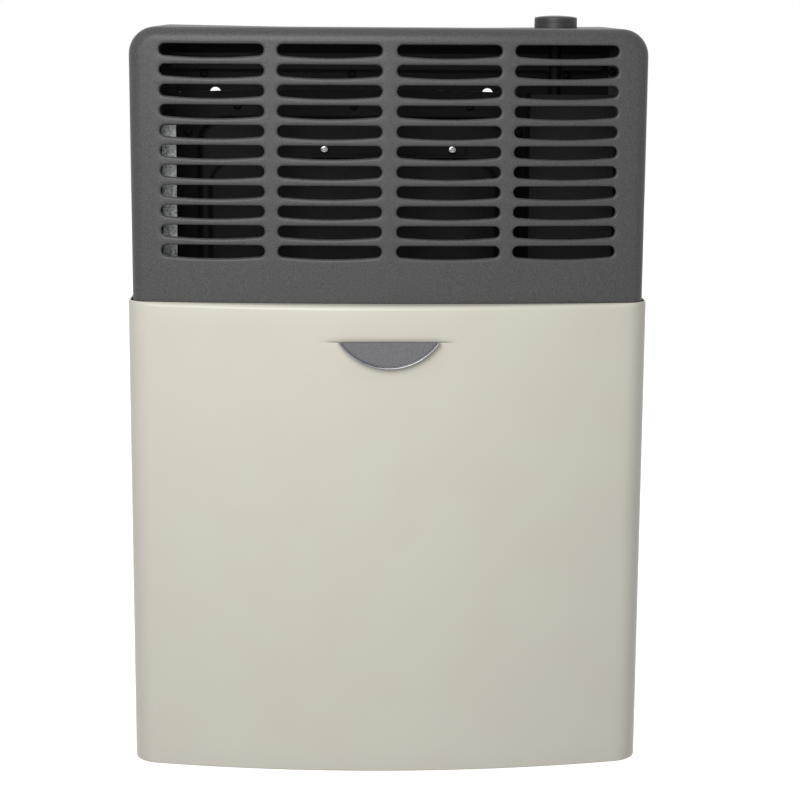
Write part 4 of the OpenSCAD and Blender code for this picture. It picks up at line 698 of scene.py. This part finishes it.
# %% The panel's wall
TOP_FOLD_R, LOW_FOLD_R = 4.0, 1.6
CREASE_Z, GRIP_STEP = 373.6, 2.4
grip_levels = [CREASE_Z + GRIP_STEP * i for i in range(-20, 2)]
levels = [20, 60, 120, 180, 240, 290, 312, *grip_levels, 379, 386, PANEL_H - TOP_FOLD_R]
start = panel_bm.edges[:]
bmesh.ops.translate(panel_bm, verts=panel_bm.verts, vec=(0, 0, LOW_FOLD_R))
top = sweep(panel_bm, start, [lambda p, z=z: Vector((p.x, p.y, z)) for z in levels])
print("panel's wall:", len(panel_bm.faces), "faces")

# %% The top edge, folded back to just before the casing
# The fold is tighter where the casing is near. So each point of the edge gets its own path, as a
# row of tables from the point's key to its place after each step.
FOLD_STEPS, LEAST_FOLD_R, CASING_CLEAR = 6, 0.9, 2.2


def fold_radius(place):
    """The radius of the top fold: full in front, and less where the casing is close."""
    return max(LEAST_FOLD_R, min(TOP_FOLD_R, casing_gap(place) - CASING_CLEAR))


reach = {}
for edge in top:
    for vert in edge.verts:
        key = (round(vert.co.x, 2), round(vert.co.y, 2))
        reach[key] = (vert.co.copy(), out_of_panel(vert.co), fold_radius(vert.co), casing_gap(vert.co))


def folded(k):
    """Where each point of the top edge is after a share of the fold, as a table."""
    angle = math.pi / 2 * k / FOLD_STEPS
    return {key: at - out * radius * (1 - math.cos(angle)) +
            Vector((0, 0, TOP_FOLD_R - radius + radius * math.sin(angle)))
            for key, (at, out, radius, gap) in reach.items()}


tables = [{key: at for key, (at, out, radius, gap) in reach.items()}]
tables += [folded(k) for k in range(1, FOLD_STEPS + 1)]
tables.append({key: at - out * max(radius, gap - CASING_CLEAR) + Vector((0, 0, TOP_FOLD_R))
               for key, (at, out, radius, gap) in reach.items()})


def follow(before, after):
    """A move that takes each place of one table to the same point's place in the next."""
    near = {tuple(round(c, 2) for c in place): after[key] for key, place in before.items()}
    return lambda p: near[tuple(round(c, 2) for c in p)]


sweep(panel_bm, top, [follow(a, b) for a, b in zip(tables, tables[1:])])
print("with its top fold:", len(panel_bm.faces), "faces")

# %% The lower edge, folded in
# It turns through the same quarter circle as the casing's edge, in half as many steps.
PANEL_FLANGE = 14.0
low = [lambda p, a=a, b=b: p - out_of_panel(p) * LOW_FOLD_R * (math.cos(a) - math.cos(b)) -
       Vector((0, 0, LOW_FOLD_R * (math.sin(b) - math.sin(a))))
       for a, b in zip(turns[::2], turns[2::2])]
low.append(lambda p: p - out_of_panel(p) * (PANEL_FLANGE - LOW_FOLD_R))
sweep(panel_bm, start, low)
print("with its flange:", len(panel_bm.faces), "faces")

# %% Press out the finger grip
GRIP_HALF, GRIP_DROP, GRIP_OUT, GRIP_FLAT = 62.0, 36.0, 2.2, 0.2
CREASE_HALF, CREASE_IN, CREASE_FADE = GRIP_HALF - 3, 1.5, 14.0
SIDES_FROM_Y = -100


def grip_height(x, z):
    """How far the sheet is pressed out: most under the middle of the crease, fading all round."""
    away = math.hypot(x / GRIP_HALF, (CREASE_Z - z) / GRIP_DROP)
    faded = share(away, GRIP_FLAT, 1.0)
    return GRIP_OUT * (1 - faded * faded * (3 - 2 * faded))


def on_crease(place):
    """True on the level line that is cut across the bowed front."""
    return abs(place.z - CREASE_Z) < 0.01 and abs(place.x) < CREASE_HALF and place.y < SIDES_FROM_Y


crease = [edge for edge in panel_bm.edges if all(on_crease(vert.co) for vert in edge.verts)]
bmesh.ops.split_edges(panel_bm, edges=crease)
for vert in panel_bm.verts:
    if vert.co.y > SIDES_FROM_Y or abs(vert.co.x) > GRIP_HALF or vert.co.z > CREASE_Z + 0.01:
        continue
    faces_below = [face.calc_center_median().z < CREASE_Z for face in vert.link_faces]
    if all(faces_below):
        vert.co.y -= grip_height(vert.co.x, vert.co.z)
    elif not any(faces_below):
        vert.co.y += CREASE_IN * share(abs(vert.co.x), GRIP_HALF, GRIP_HALF - CREASE_FADE)
make_piece("bowed_front_panel", panel_bm, "panel", cream_coat, ["front_panel"],
           sheet_mm=1.0)

# %% [markdown]
# ## The finger pull
# A small half-moon plate covers the pressed grip. It is cast with a bright rim that runs along
# its arc, and its face is darkened and brushed. The rim is a bead: one small section, lofted along
# the arc from tip to tip. The plate is a loft of half-moon outlines with a rounded edge.

# %% Half-moon outlines
(_, PULL_FRONT, pull_low_z), (PULL_HALF, _, PULL_TOP) = node_box("pull_rim")
PULL_H, ARC_STEPS, TOP_PARTS = PULL_TOP - pull_low_z, 56, 24
moon_r = (PULL_HALF ** 2 + PULL_H ** 2) / (2 * PULL_H)
moon_z = PULL_TOP - PULL_H + moon_r


def half_moon(arc_inset, top_inset, y):
    """The pull's outline at a depth, with its arc and its straight top drawn in."""
    radius = moon_r - arc_inset
    half = math.acos((moon_z - PULL_TOP + top_inset) / radius)
    turn = [half * (2 * i / ARC_STEPS - 1) for i in range(ARC_STEPS + 1)]
    arc = [(radius * math.sin(a), y, moon_z - radius * math.cos(a)) for a in turn]
    (x0, _, z0), (x1, _, _) = arc[0], arc[-1]
    return arc + [(x1 + (x0 - x1) * i / TOP_PARTS, y, z0) for i in range(1, TOP_PARTS)]


print("half-moon radius:", round(moon_r, 1), "mm")

# %% The bright rim
# The bead's section: how far each point is inside the arc, and how far behind the front.
BEAD = ((0, 6.1), (0, 0.75), (0.1, 0.4), (0.35, 0.12), (0.7, 0), (1.0, 0.05), (1.35, 0.3), (1.6, 0.75),
        (1.7, 1.4), (1.75, 2.2), (2.05, 2.2), (2.05, 6.1))
BEAD_STEPS, TIP_INSET = 40, 0.1
rim_bm = bmesh.new()
sections = []
for step in range(-BEAD_STEPS, BEAD_STEPS + 1):
    section = []
    for inset, y in BEAD:
        radius = moon_r - inset
        angle = math.acos((moon_z - PULL_TOP + TIP_INSET) / radius) * step / BEAD_STEPS
        section.append((radius * math.sin(angle), PULL_FRONT + y, moon_z - radius * math.cos(angle)))
    sections.append(section)
closed_loft(rim_bm, sections)
make_piece("pull_bright_rim", rim_bm, "panel", chrome, ["pull_rim"])

# %% The brushed plate and its two pegs
PLATE_EDGE = ((2.1, 0, 5.6), (2.1, 0, 1.9), (2.25, 0.05, 1.68), (2.4, 0.15, 1.6), (3.0, 0.6, 1.6),
              (4.5, 2.4, 1.6))
PEG_X, PEG_Z, PEG_R, PEG_BEVEL = 22, PULL_TOP - 7.9, 2.4, 0.4
peg_start, peg_end = PULL_FRONT + 6, node_box("pull_plate")[1][1]
plate_bm = bmesh.new()
closed_loft(plate_bm, [half_moon(arc_inset, top_inset, PULL_FRONT + behind)
                       for arc_inset, top_inset, behind in PLATE_EDGE])
PEG_PROFILE = ((PEG_R, peg_start), (PEG_R, peg_end - PEG_BEVEL), (PEG_R - PEG_BEVEL, peg_end))
for side in (-1, 1):
    closed_loft(plate_bm, [ring_facing_y(side * PEG_X, y, PEG_Z, radius, 24) for radius, y in PEG_PROFILE])
make_piece("pull_brushed_plate", plate_bm, "panel", dark_nickel, ["pull_plate"])

# %% [markdown]
# ## The control knob
# The knob stands in a hole in the casing's top. It is moulded with two fine rings for grip, a
# rounded upper edge, and a shallow domed cap that is pressed into a ring-shaped groove. Each is a
# loft of circles, from the underside round the outside and over the edge.

# %% Knob
# Each place on the profile is a radius and a height above the knob's underside.
KNOB_PROFILE = (
    (5.2, 1.5), (15.5, 1.5), (16.3, 0), (17.6, 0), (17.9, 0.4), (18.0, 1.0), (18.0, 8.4), (17.8, 8.6),
    (17.8, 8.8), (18.0, 9.0), (18.0, 10.2), (17.8, 10.4), (17.8, 10.6), (18.0, 10.8), (18.0, 11.4),
    (17.9, 12.0), (17.6, 12.55), (17.2, 12.88), (16.7, 13.0), (16.0, 13.0), (15.75, 12.85), (15.7, 12.4),
    (5.2, 12.4), (5.2, 1.5))
knob_bm = bmesh.new()
loft(knob_bm, [knob_ring(radius, knob_low[2] + z) for radius, z in KNOB_PROFILE])
make_piece("ringed_control_knob", knob_bm, "knob", knob_plastic, ["control_knob"],
           outwards=(1, 0, 0))

# %% Knob cap
# Its heights are above the knob's rim.
CAP_PROFILE = ((15.0, -0.5), (15.45, -0.4), (15.45, 0.0), (15.3, 0.2), (14.9, 0.36), (13.5, 0.56),
               (11.5, 0.78), (9, 1.02), (6, 1.22), (3, 1.36), (0.8, 1.4))
cap_bm = bmesh.new()
closed_loft(cap_bm, [knob_ring(radius, knob_high[2] + z) for radius, z in CAP_PROFILE])
make_piece("domed_knob_cap", cap_bm, "knob", cap_plastic, ["knob_cap"],
           outwards=(0, 0, 1))

# %% [markdown]
# ## Screws
# All the screws are small pan-head screws with a cross recess. Those of the exchanger's joint are
# enamelled with it. Those of the chassis and the casing are drawn in the back plate's black, though
# the record has them zinc plated, so that they show no bright spots through the slots. The brace's
# are zinc plated. The CAD nodes know their places, so a merged copy of each node is split into its
# loose parts, and every part's box says where a screw sits, how far its head stands out and how
# deep it goes.

# %% Find the loose parts of a CAD node
def loose_boxes(node):
    """The boxes, in millimetres, of the loose parts of a CAD node, in a fixed order."""
    copy = bmesh.new()
    copy.from_mesh(frame["nodes"][node].data)
    bmesh.ops.remove_doubles(copy, verts=copy.verts, dist=0.00001)
    seen_verts, boxes = set(), []
    for first in copy.verts:
        if first in seen_verts:
            continue
        part, queue = [], [first]
        seen_verts.add(first)
        while queue:
            vert = queue.pop()
            part.append(vert.co / MM)
            for edge in vert.link_edges:
                other = edge.other_vert(vert)
                if other not in seen_verts:
                    seen_verts.add(other)
                    queue.append(other)
        boxes.append([[pick(place[axis] for place in part) for axis in range(3)] for pick in (min, max)])
    copy.free()
    return sorted(boxes)


# %% Pan-head screws with a cross recess
HEAD_H, HEAD_R, SHANK_R, RECESS_DEPTH = 2.4, 3.6, 1.75, 1.3
QUARTER = (0, 15, 31, 45, 59, 75)
CROSS = ((1.7, 0), (1.7, 0.42), (1.05, 0.42), (0.42, 0.42), (0.42, 1.05), (0.42, 1.7))


def quarter_turned(points, times):
    """Points turned about the middle by quarter turns."""
    for _ in range(times):
        points = [(-v, u) for u, v in points]
    return points


def add_screw(bm, x, z, head_y, tip_y):
    """A screw that points into the wall."""
    seat = head_y + HEAD_H
    angles = [math.radians(a + 90 * times) for times in range(4) for a in QUARTER]
    rings = [(0.5, tip_y), (1.3, tip_y - 0.5), (SHANK_R, tip_y - 1.0), (SHANK_R, seat), (3.35, seat),
             (HEAD_R, seat - 0.25), (HEAD_R, seat - 0.9), (3.45, seat - 1.5), (3.05, seat - 2.0),
             (2.5, seat - 2.3)]
    outlines = [[(x + r * math.cos(a), y, z + r * math.sin(a)) for a in angles] for r, y in rings]
    for scale, y in ((1.0, head_y), (0.85, head_y + RECESS_DEPTH)):
        cross = [(u * scale, v * scale) for u, v in CROSS]
        outlines.append([(x + u, y, z + v) for times in range(4) for u, v in quarter_turned(cross, times)])
    closed_loft(bm, outlines)


SCREW_FINISHES = {
    # The chassis and casing screws get the back plate's black, not the record's zinc, so that they show no
    # bright spots through the slots.
    "chassis_screws": ("black_sheet_paint", black_paint),
    "casing_screws": ("black_sheet_paint", black_paint),
    "shell_screws": ("black_enamel", black_enamel),
    "brace_screws": ("zinc_steel", zinc_plate),
}
for node, (slot, finish) in SCREW_FINISHES.items():
    screw_bm = bmesh.new()
    for low, high in loose_boxes(node):
        add_screw(screw_bm, (low[0] + high[0]) / 2, (low[2] + high[2]) / 2, low[1], high[1])
    make_piece("cross_head_" + node, screw_bm, "heater", finish, [node])

# %% [markdown]
# ## Pipes and leads
# Pipes are drawn tube, bent by hand over a former, so each corner is an arc and not an elbow.
# A route is a short list of corners. Its corners are rounded first, and then a ring travels along
# it, turning no more than it must, and the rings are lofted into a tube. The gas pipes end in
# brass nuts under the valve: hexagons whose ends are turned down to a circle.

# %% Tubes along rounded routes
# A bend takes up less than half of the straight run before and after it.
UNDER_HALF = 1 / 2.01


def round_route(corners, bend, steps=7):
    """The places along a route whose corners are rounded."""
    corners = [Vector(corner) for corner in corners]
    route = [corners[0]]
    for before, corner, after in zip(corners, corners[1:], corners[2:]):
        back = min(bend, (corner - before).length * UNDER_HALF, (after - corner).length * UNDER_HALF)
        start = corner + (before - corner).normalized() * back
        end = corner + (after - corner).normalized() * back
        for k in range(steps + 1):
            route.append(start.lerp(corner, k / steps).lerp(corner.lerp(end, k / steps), k / steps))
    return route + [corners[-1]]


def tube(bm, corners, radius, bend, segments=16):
    """Skins a tube with closed ends along a rounded route."""
    route = round_route(corners, bend)
    ways = [(b - a).normalized() for a, b in zip(route, route[1:])]
    ways = [ways[0]] + [(a + b).normalized() for a, b in zip(ways, ways[1:])] + [ways[-1]]
    side, outlines = ways[0].orthogonal().normalized(), []
    for place, way in zip(route, ways):
        side = (side - way * side.dot(way)).normalized()
        other = way.cross(side)
        outlines.append([place + (side * math.cos(a) + other * math.sin(a)) * radius
                         for a in [2 * math.pi * i / segments for i in range(segments)]])
    closed_loft(bm, outlines)


def add_nut(bm, x, y, low, high, radius, bore):
    """A hexagon nut with turned ends, around an upright pipe."""
    turned = radius * 0.86

    def ring(z, limit):
        places = []
        for i in range(36):
            a = math.radians(10 * i)
            flat = radius * math.cos(math.pi / 6) / math.cos((a % (math.pi / 3)) - math.pi / 6)
            r = min(flat, limit)
            places.append((x + r * math.cos(a), y + r * math.sin(a), z))
        return places

    loft(bm, [ring(low, bore), ring(low, turned), ring(low + 1, radius), ring(high - 1, radius),
              ring(high, turned), ring(high, bore), ring(low, bore)])


# %% Gas pipes with their nuts
# Each pipe has its radius, the radius of its bends, its nut's radius and its route.
PORT_Z = node_box("gas_valve")[0][2]
RUN_Z, BEND_Z, NUT_H = 141, 440, 10
GAS_PIPES = {
    "inlet_pipe": (6, 14, 9, [(160, -60, 45.2), (160, -60, BEND_Z), (151.2, -100, BEND_Z),
                              (151.2, -100, PORT_Z)]),
    "burner_pipe": (4, 6, 7, [(112, -57, 164), (118, -57, 164), (118, -57, BEND_Z),
                              (137, -84, BEND_Z), (137, -84, PORT_Z)]),
    "pilot_tube": (2, 6, 5, [(35, -84, 146), (35, -84, RUN_Z), (35, -60, RUN_Z), (130.5, -60, RUN_Z),
                             (130.5, -60, 450), (131.5, -109, 450), (131.5, -109, PORT_Z)]),
}
for node, (radius, bend, nut_r, corners) in GAS_PIPES.items():
    pipe_bm = bmesh.new()
    tube(pipe_bm, corners, radius, bend, 24)
    make_piece("bent_" + node, pipe_bm, "heater", tube_aluminium, [node])
    nut_bm = bmesh.new()
    port_x, port_y, _ = corners[-1]
    add_nut(nut_bm, port_x, port_y, PORT_Z - NUT_H, PORT_Z, nut_r, radius)
    make_piece("nut_of_" + node, nut_bm, "heater", brass)

# %% Leads and the thermostat's capillary
LEADS = {
    "thermocouple_lead": (1.3, 7, "copper_part", copper, [
        (50, -84, 146), (50, -84, RUN_Z), (50, -70, RUN_Z), (150, -70, RUN_Z), (150, -70, 455),
        (140, -110, 455), (140, -110, PORT_Z)]),
    "ignition_lead": (2.2, 10, "lead_rubber", silicone, [
        (20, -84, 146), (20, -84, RUN_Z), (20, -50, RUN_Z), (173.6, -50, RUN_Z), (173.6, -50, 470),
        (173.6, -105, 470), (173.6, -105, 497)]),
    "capillary": (0.9, 10, "copper_part", copper, [
        (130, -118, 33.2), (174.6, -118, 33.2), (174.6, -118, 455), (152, -114.5, 455),
        (152, -114.5, PORT_Z)]),
}
for node, (radius, bend, slot, material, corners) in LEADS.items():
    lead_bm = bmesh.new()
    tube(lead_bm, corners, radius, bend)
    make_piece("routed_" + node, lead_bm, "heater", material, [node])

# %% [markdown]
# ## The exchanger's front shell
# The front shell is deep drawn from one sheet. A flat flange is screwed against the rear shell,
# the wall rises from it with a small radius, and the front turns with a larger one. A wide field
# and four upright ribs are pressed outwards, so that the hot sheet doesn't drum. Each step of the
# drawing is an outline of the same number of points, lofted in order, and the front is filled.

# %% Outlines of the drawn shell
(left, shell_front, low), (right, shell_rear, high) = node_box("front_shell")
SHEET, JOINT_RIM, CROWN, BASE_R, FRONT_R = 1.5, 22.0, 3.2, 4.0, 6.0
RIB_RISE, STEP = 4.0, 4.0
JOINT_CORNER, SHELL_CORNER, FIELD_CORNER, RIB_CORNER = 12, 20, 18, 14
JOINT_BOX = (left, low, right, high)
SHELL_BOX = (left + JOINT_RIM, low + JOINT_RIM, right - JOINT_RIM, high - CROWN - JOINT_RIM)
FIELD_BOX = (-148.5, 146.0, 90.5, 515.0)
JOINT_Y, SHELL_Y = shell_rear - SHEET, shell_front + RIB_RISE
STEP_Y = SHELL_Y + STEP


def rounded_box(box, grow, radius, y, crown=0.0, across=10, upwards=10, corner_steps=8):
    """A rounded rectangle at a depth, grown all round, whose upper side can fall to both ends."""
    left, low, right, high = box[0] - grow, box[1] - grow, box[2] + grow, box[3] + grow
    radius = max(radius + grow, 0.5)
    corners = [((right - radius, low + radius), -90), ((right - radius, high - radius), 0),
               ((left + radius, high - radius), 90), ((left + radius, low + radius), 180)]
    arcs = [[(cx + radius * math.cos(math.radians(start + 90 * k / corner_steps)),
              cz + radius * math.sin(math.radians(start + 90 * k / corner_steps)))
             for k in range(corner_steps + 1)] for (cx, cz), start in corners]
    outline = []
    for arc, following, steps in zip(arcs, arcs[1:] + arcs[:1], (upwards, across) * 2):
        outline += arc
        (x0, z0), (x1, z1) = arc[-1], following[0]
        outline += [(x0 + (x1 - x0) * k / steps, z0 + (z1 - z0) * k / steps) for k in range(1, steps)]
    middle, half = (left + right) / 2, (right - left) / 2
    return [(x, y, min(z, high - crown * ((x - middle) / half) ** 2)) for x, z in outline]


print("shell's joint:", JOINT_BOX)

# %% The shell's flange, wall and field
shell_bm = bmesh.new()
wall = [rounded_box(JOINT_BOX, 0, JOINT_CORNER, JOINT_Y, CROWN)]
wall += [rounded_box(SHELL_BOX, BASE_R * (1 - math.sin(a)), SHELL_CORNER,
                     JOINT_Y - BASE_R * (1 - math.cos(a)))
         for a in [math.radians(30 * k) for k in range(4)]]
wall += [rounded_box(SHELL_BOX, FRONT_R * (math.cos(a) - 1), SHELL_CORNER,
                     STEP_Y + FRONT_R * (1 - math.sin(a)))
         for a in [math.radians(15 * k) for k in range(7)]]
wall += [rounded_box(FIELD_BOX, grow, FIELD_CORNER, SHELL_Y + behind)
         for grow, behind in ((5.2, 4.0), (4.0, 3.7), (2.8, 2.8), (1.2, 1.2), (0, 0.3), (-1.4, 0))]
front_rim = loft(shell_bm, wall)[-1]
print("shell's wall:", len(shell_bm.faces), "faces")

# %% The shell's ribs, its sight hole and its front
RIB_X, RIB_HALF, RIB_LOW, RIB_HIGH = (-128, -62, 4, 70), 15, 206, 433.6
RIB_STEPS = ((0, 0), (1.0, 0.25), (2.2, 1.1), (3.4, 2.4), (4.6, 3.5), (6.0, 3.95), (8.0, RIB_RISE),
             (12.0, RIB_RISE))
holes = []
for rib_x in RIB_X:
    rib_box = (rib_x - RIB_HALF, RIB_LOW, rib_x + RIB_HALF, RIB_HIGH)
    rib = [rounded_box(rib_box, -inset, RIB_CORNER, SHELL_Y - rise, across=2, upwards=14)
           for inset, rise in RIB_STEPS]
    rib_loops = loft(shell_bm, rib)
    bmesh.ops.edgeloop_fill(shell_bm, edges=rib_loops[-1])
    holes += rib_loops[0]

glass_low, glass_high = node_box("sight_glass")
SIGHT_X, SIGHT_Z, SIGHT_R = (glass_low[0] + glass_high[0]) / 2, (glass_low[2] + glass_high[2]) / 2, 12
# The hole is smaller than the sight glass in front of it.
holes += loft(shell_bm, [ring_facing_y(SIGHT_X, SHELL_Y, SIGHT_Z, SIGHT_R, 48)])[0]
bmesh.ops.triangle_fill(shell_bm, use_beauty=True, edges=front_rim + holes, normal=(0, -1, 0))
make_piece("drawn_front_shell", shell_bm, "heater", black_enamel, ["front_shell"],
           sheet_mm=SHEET)
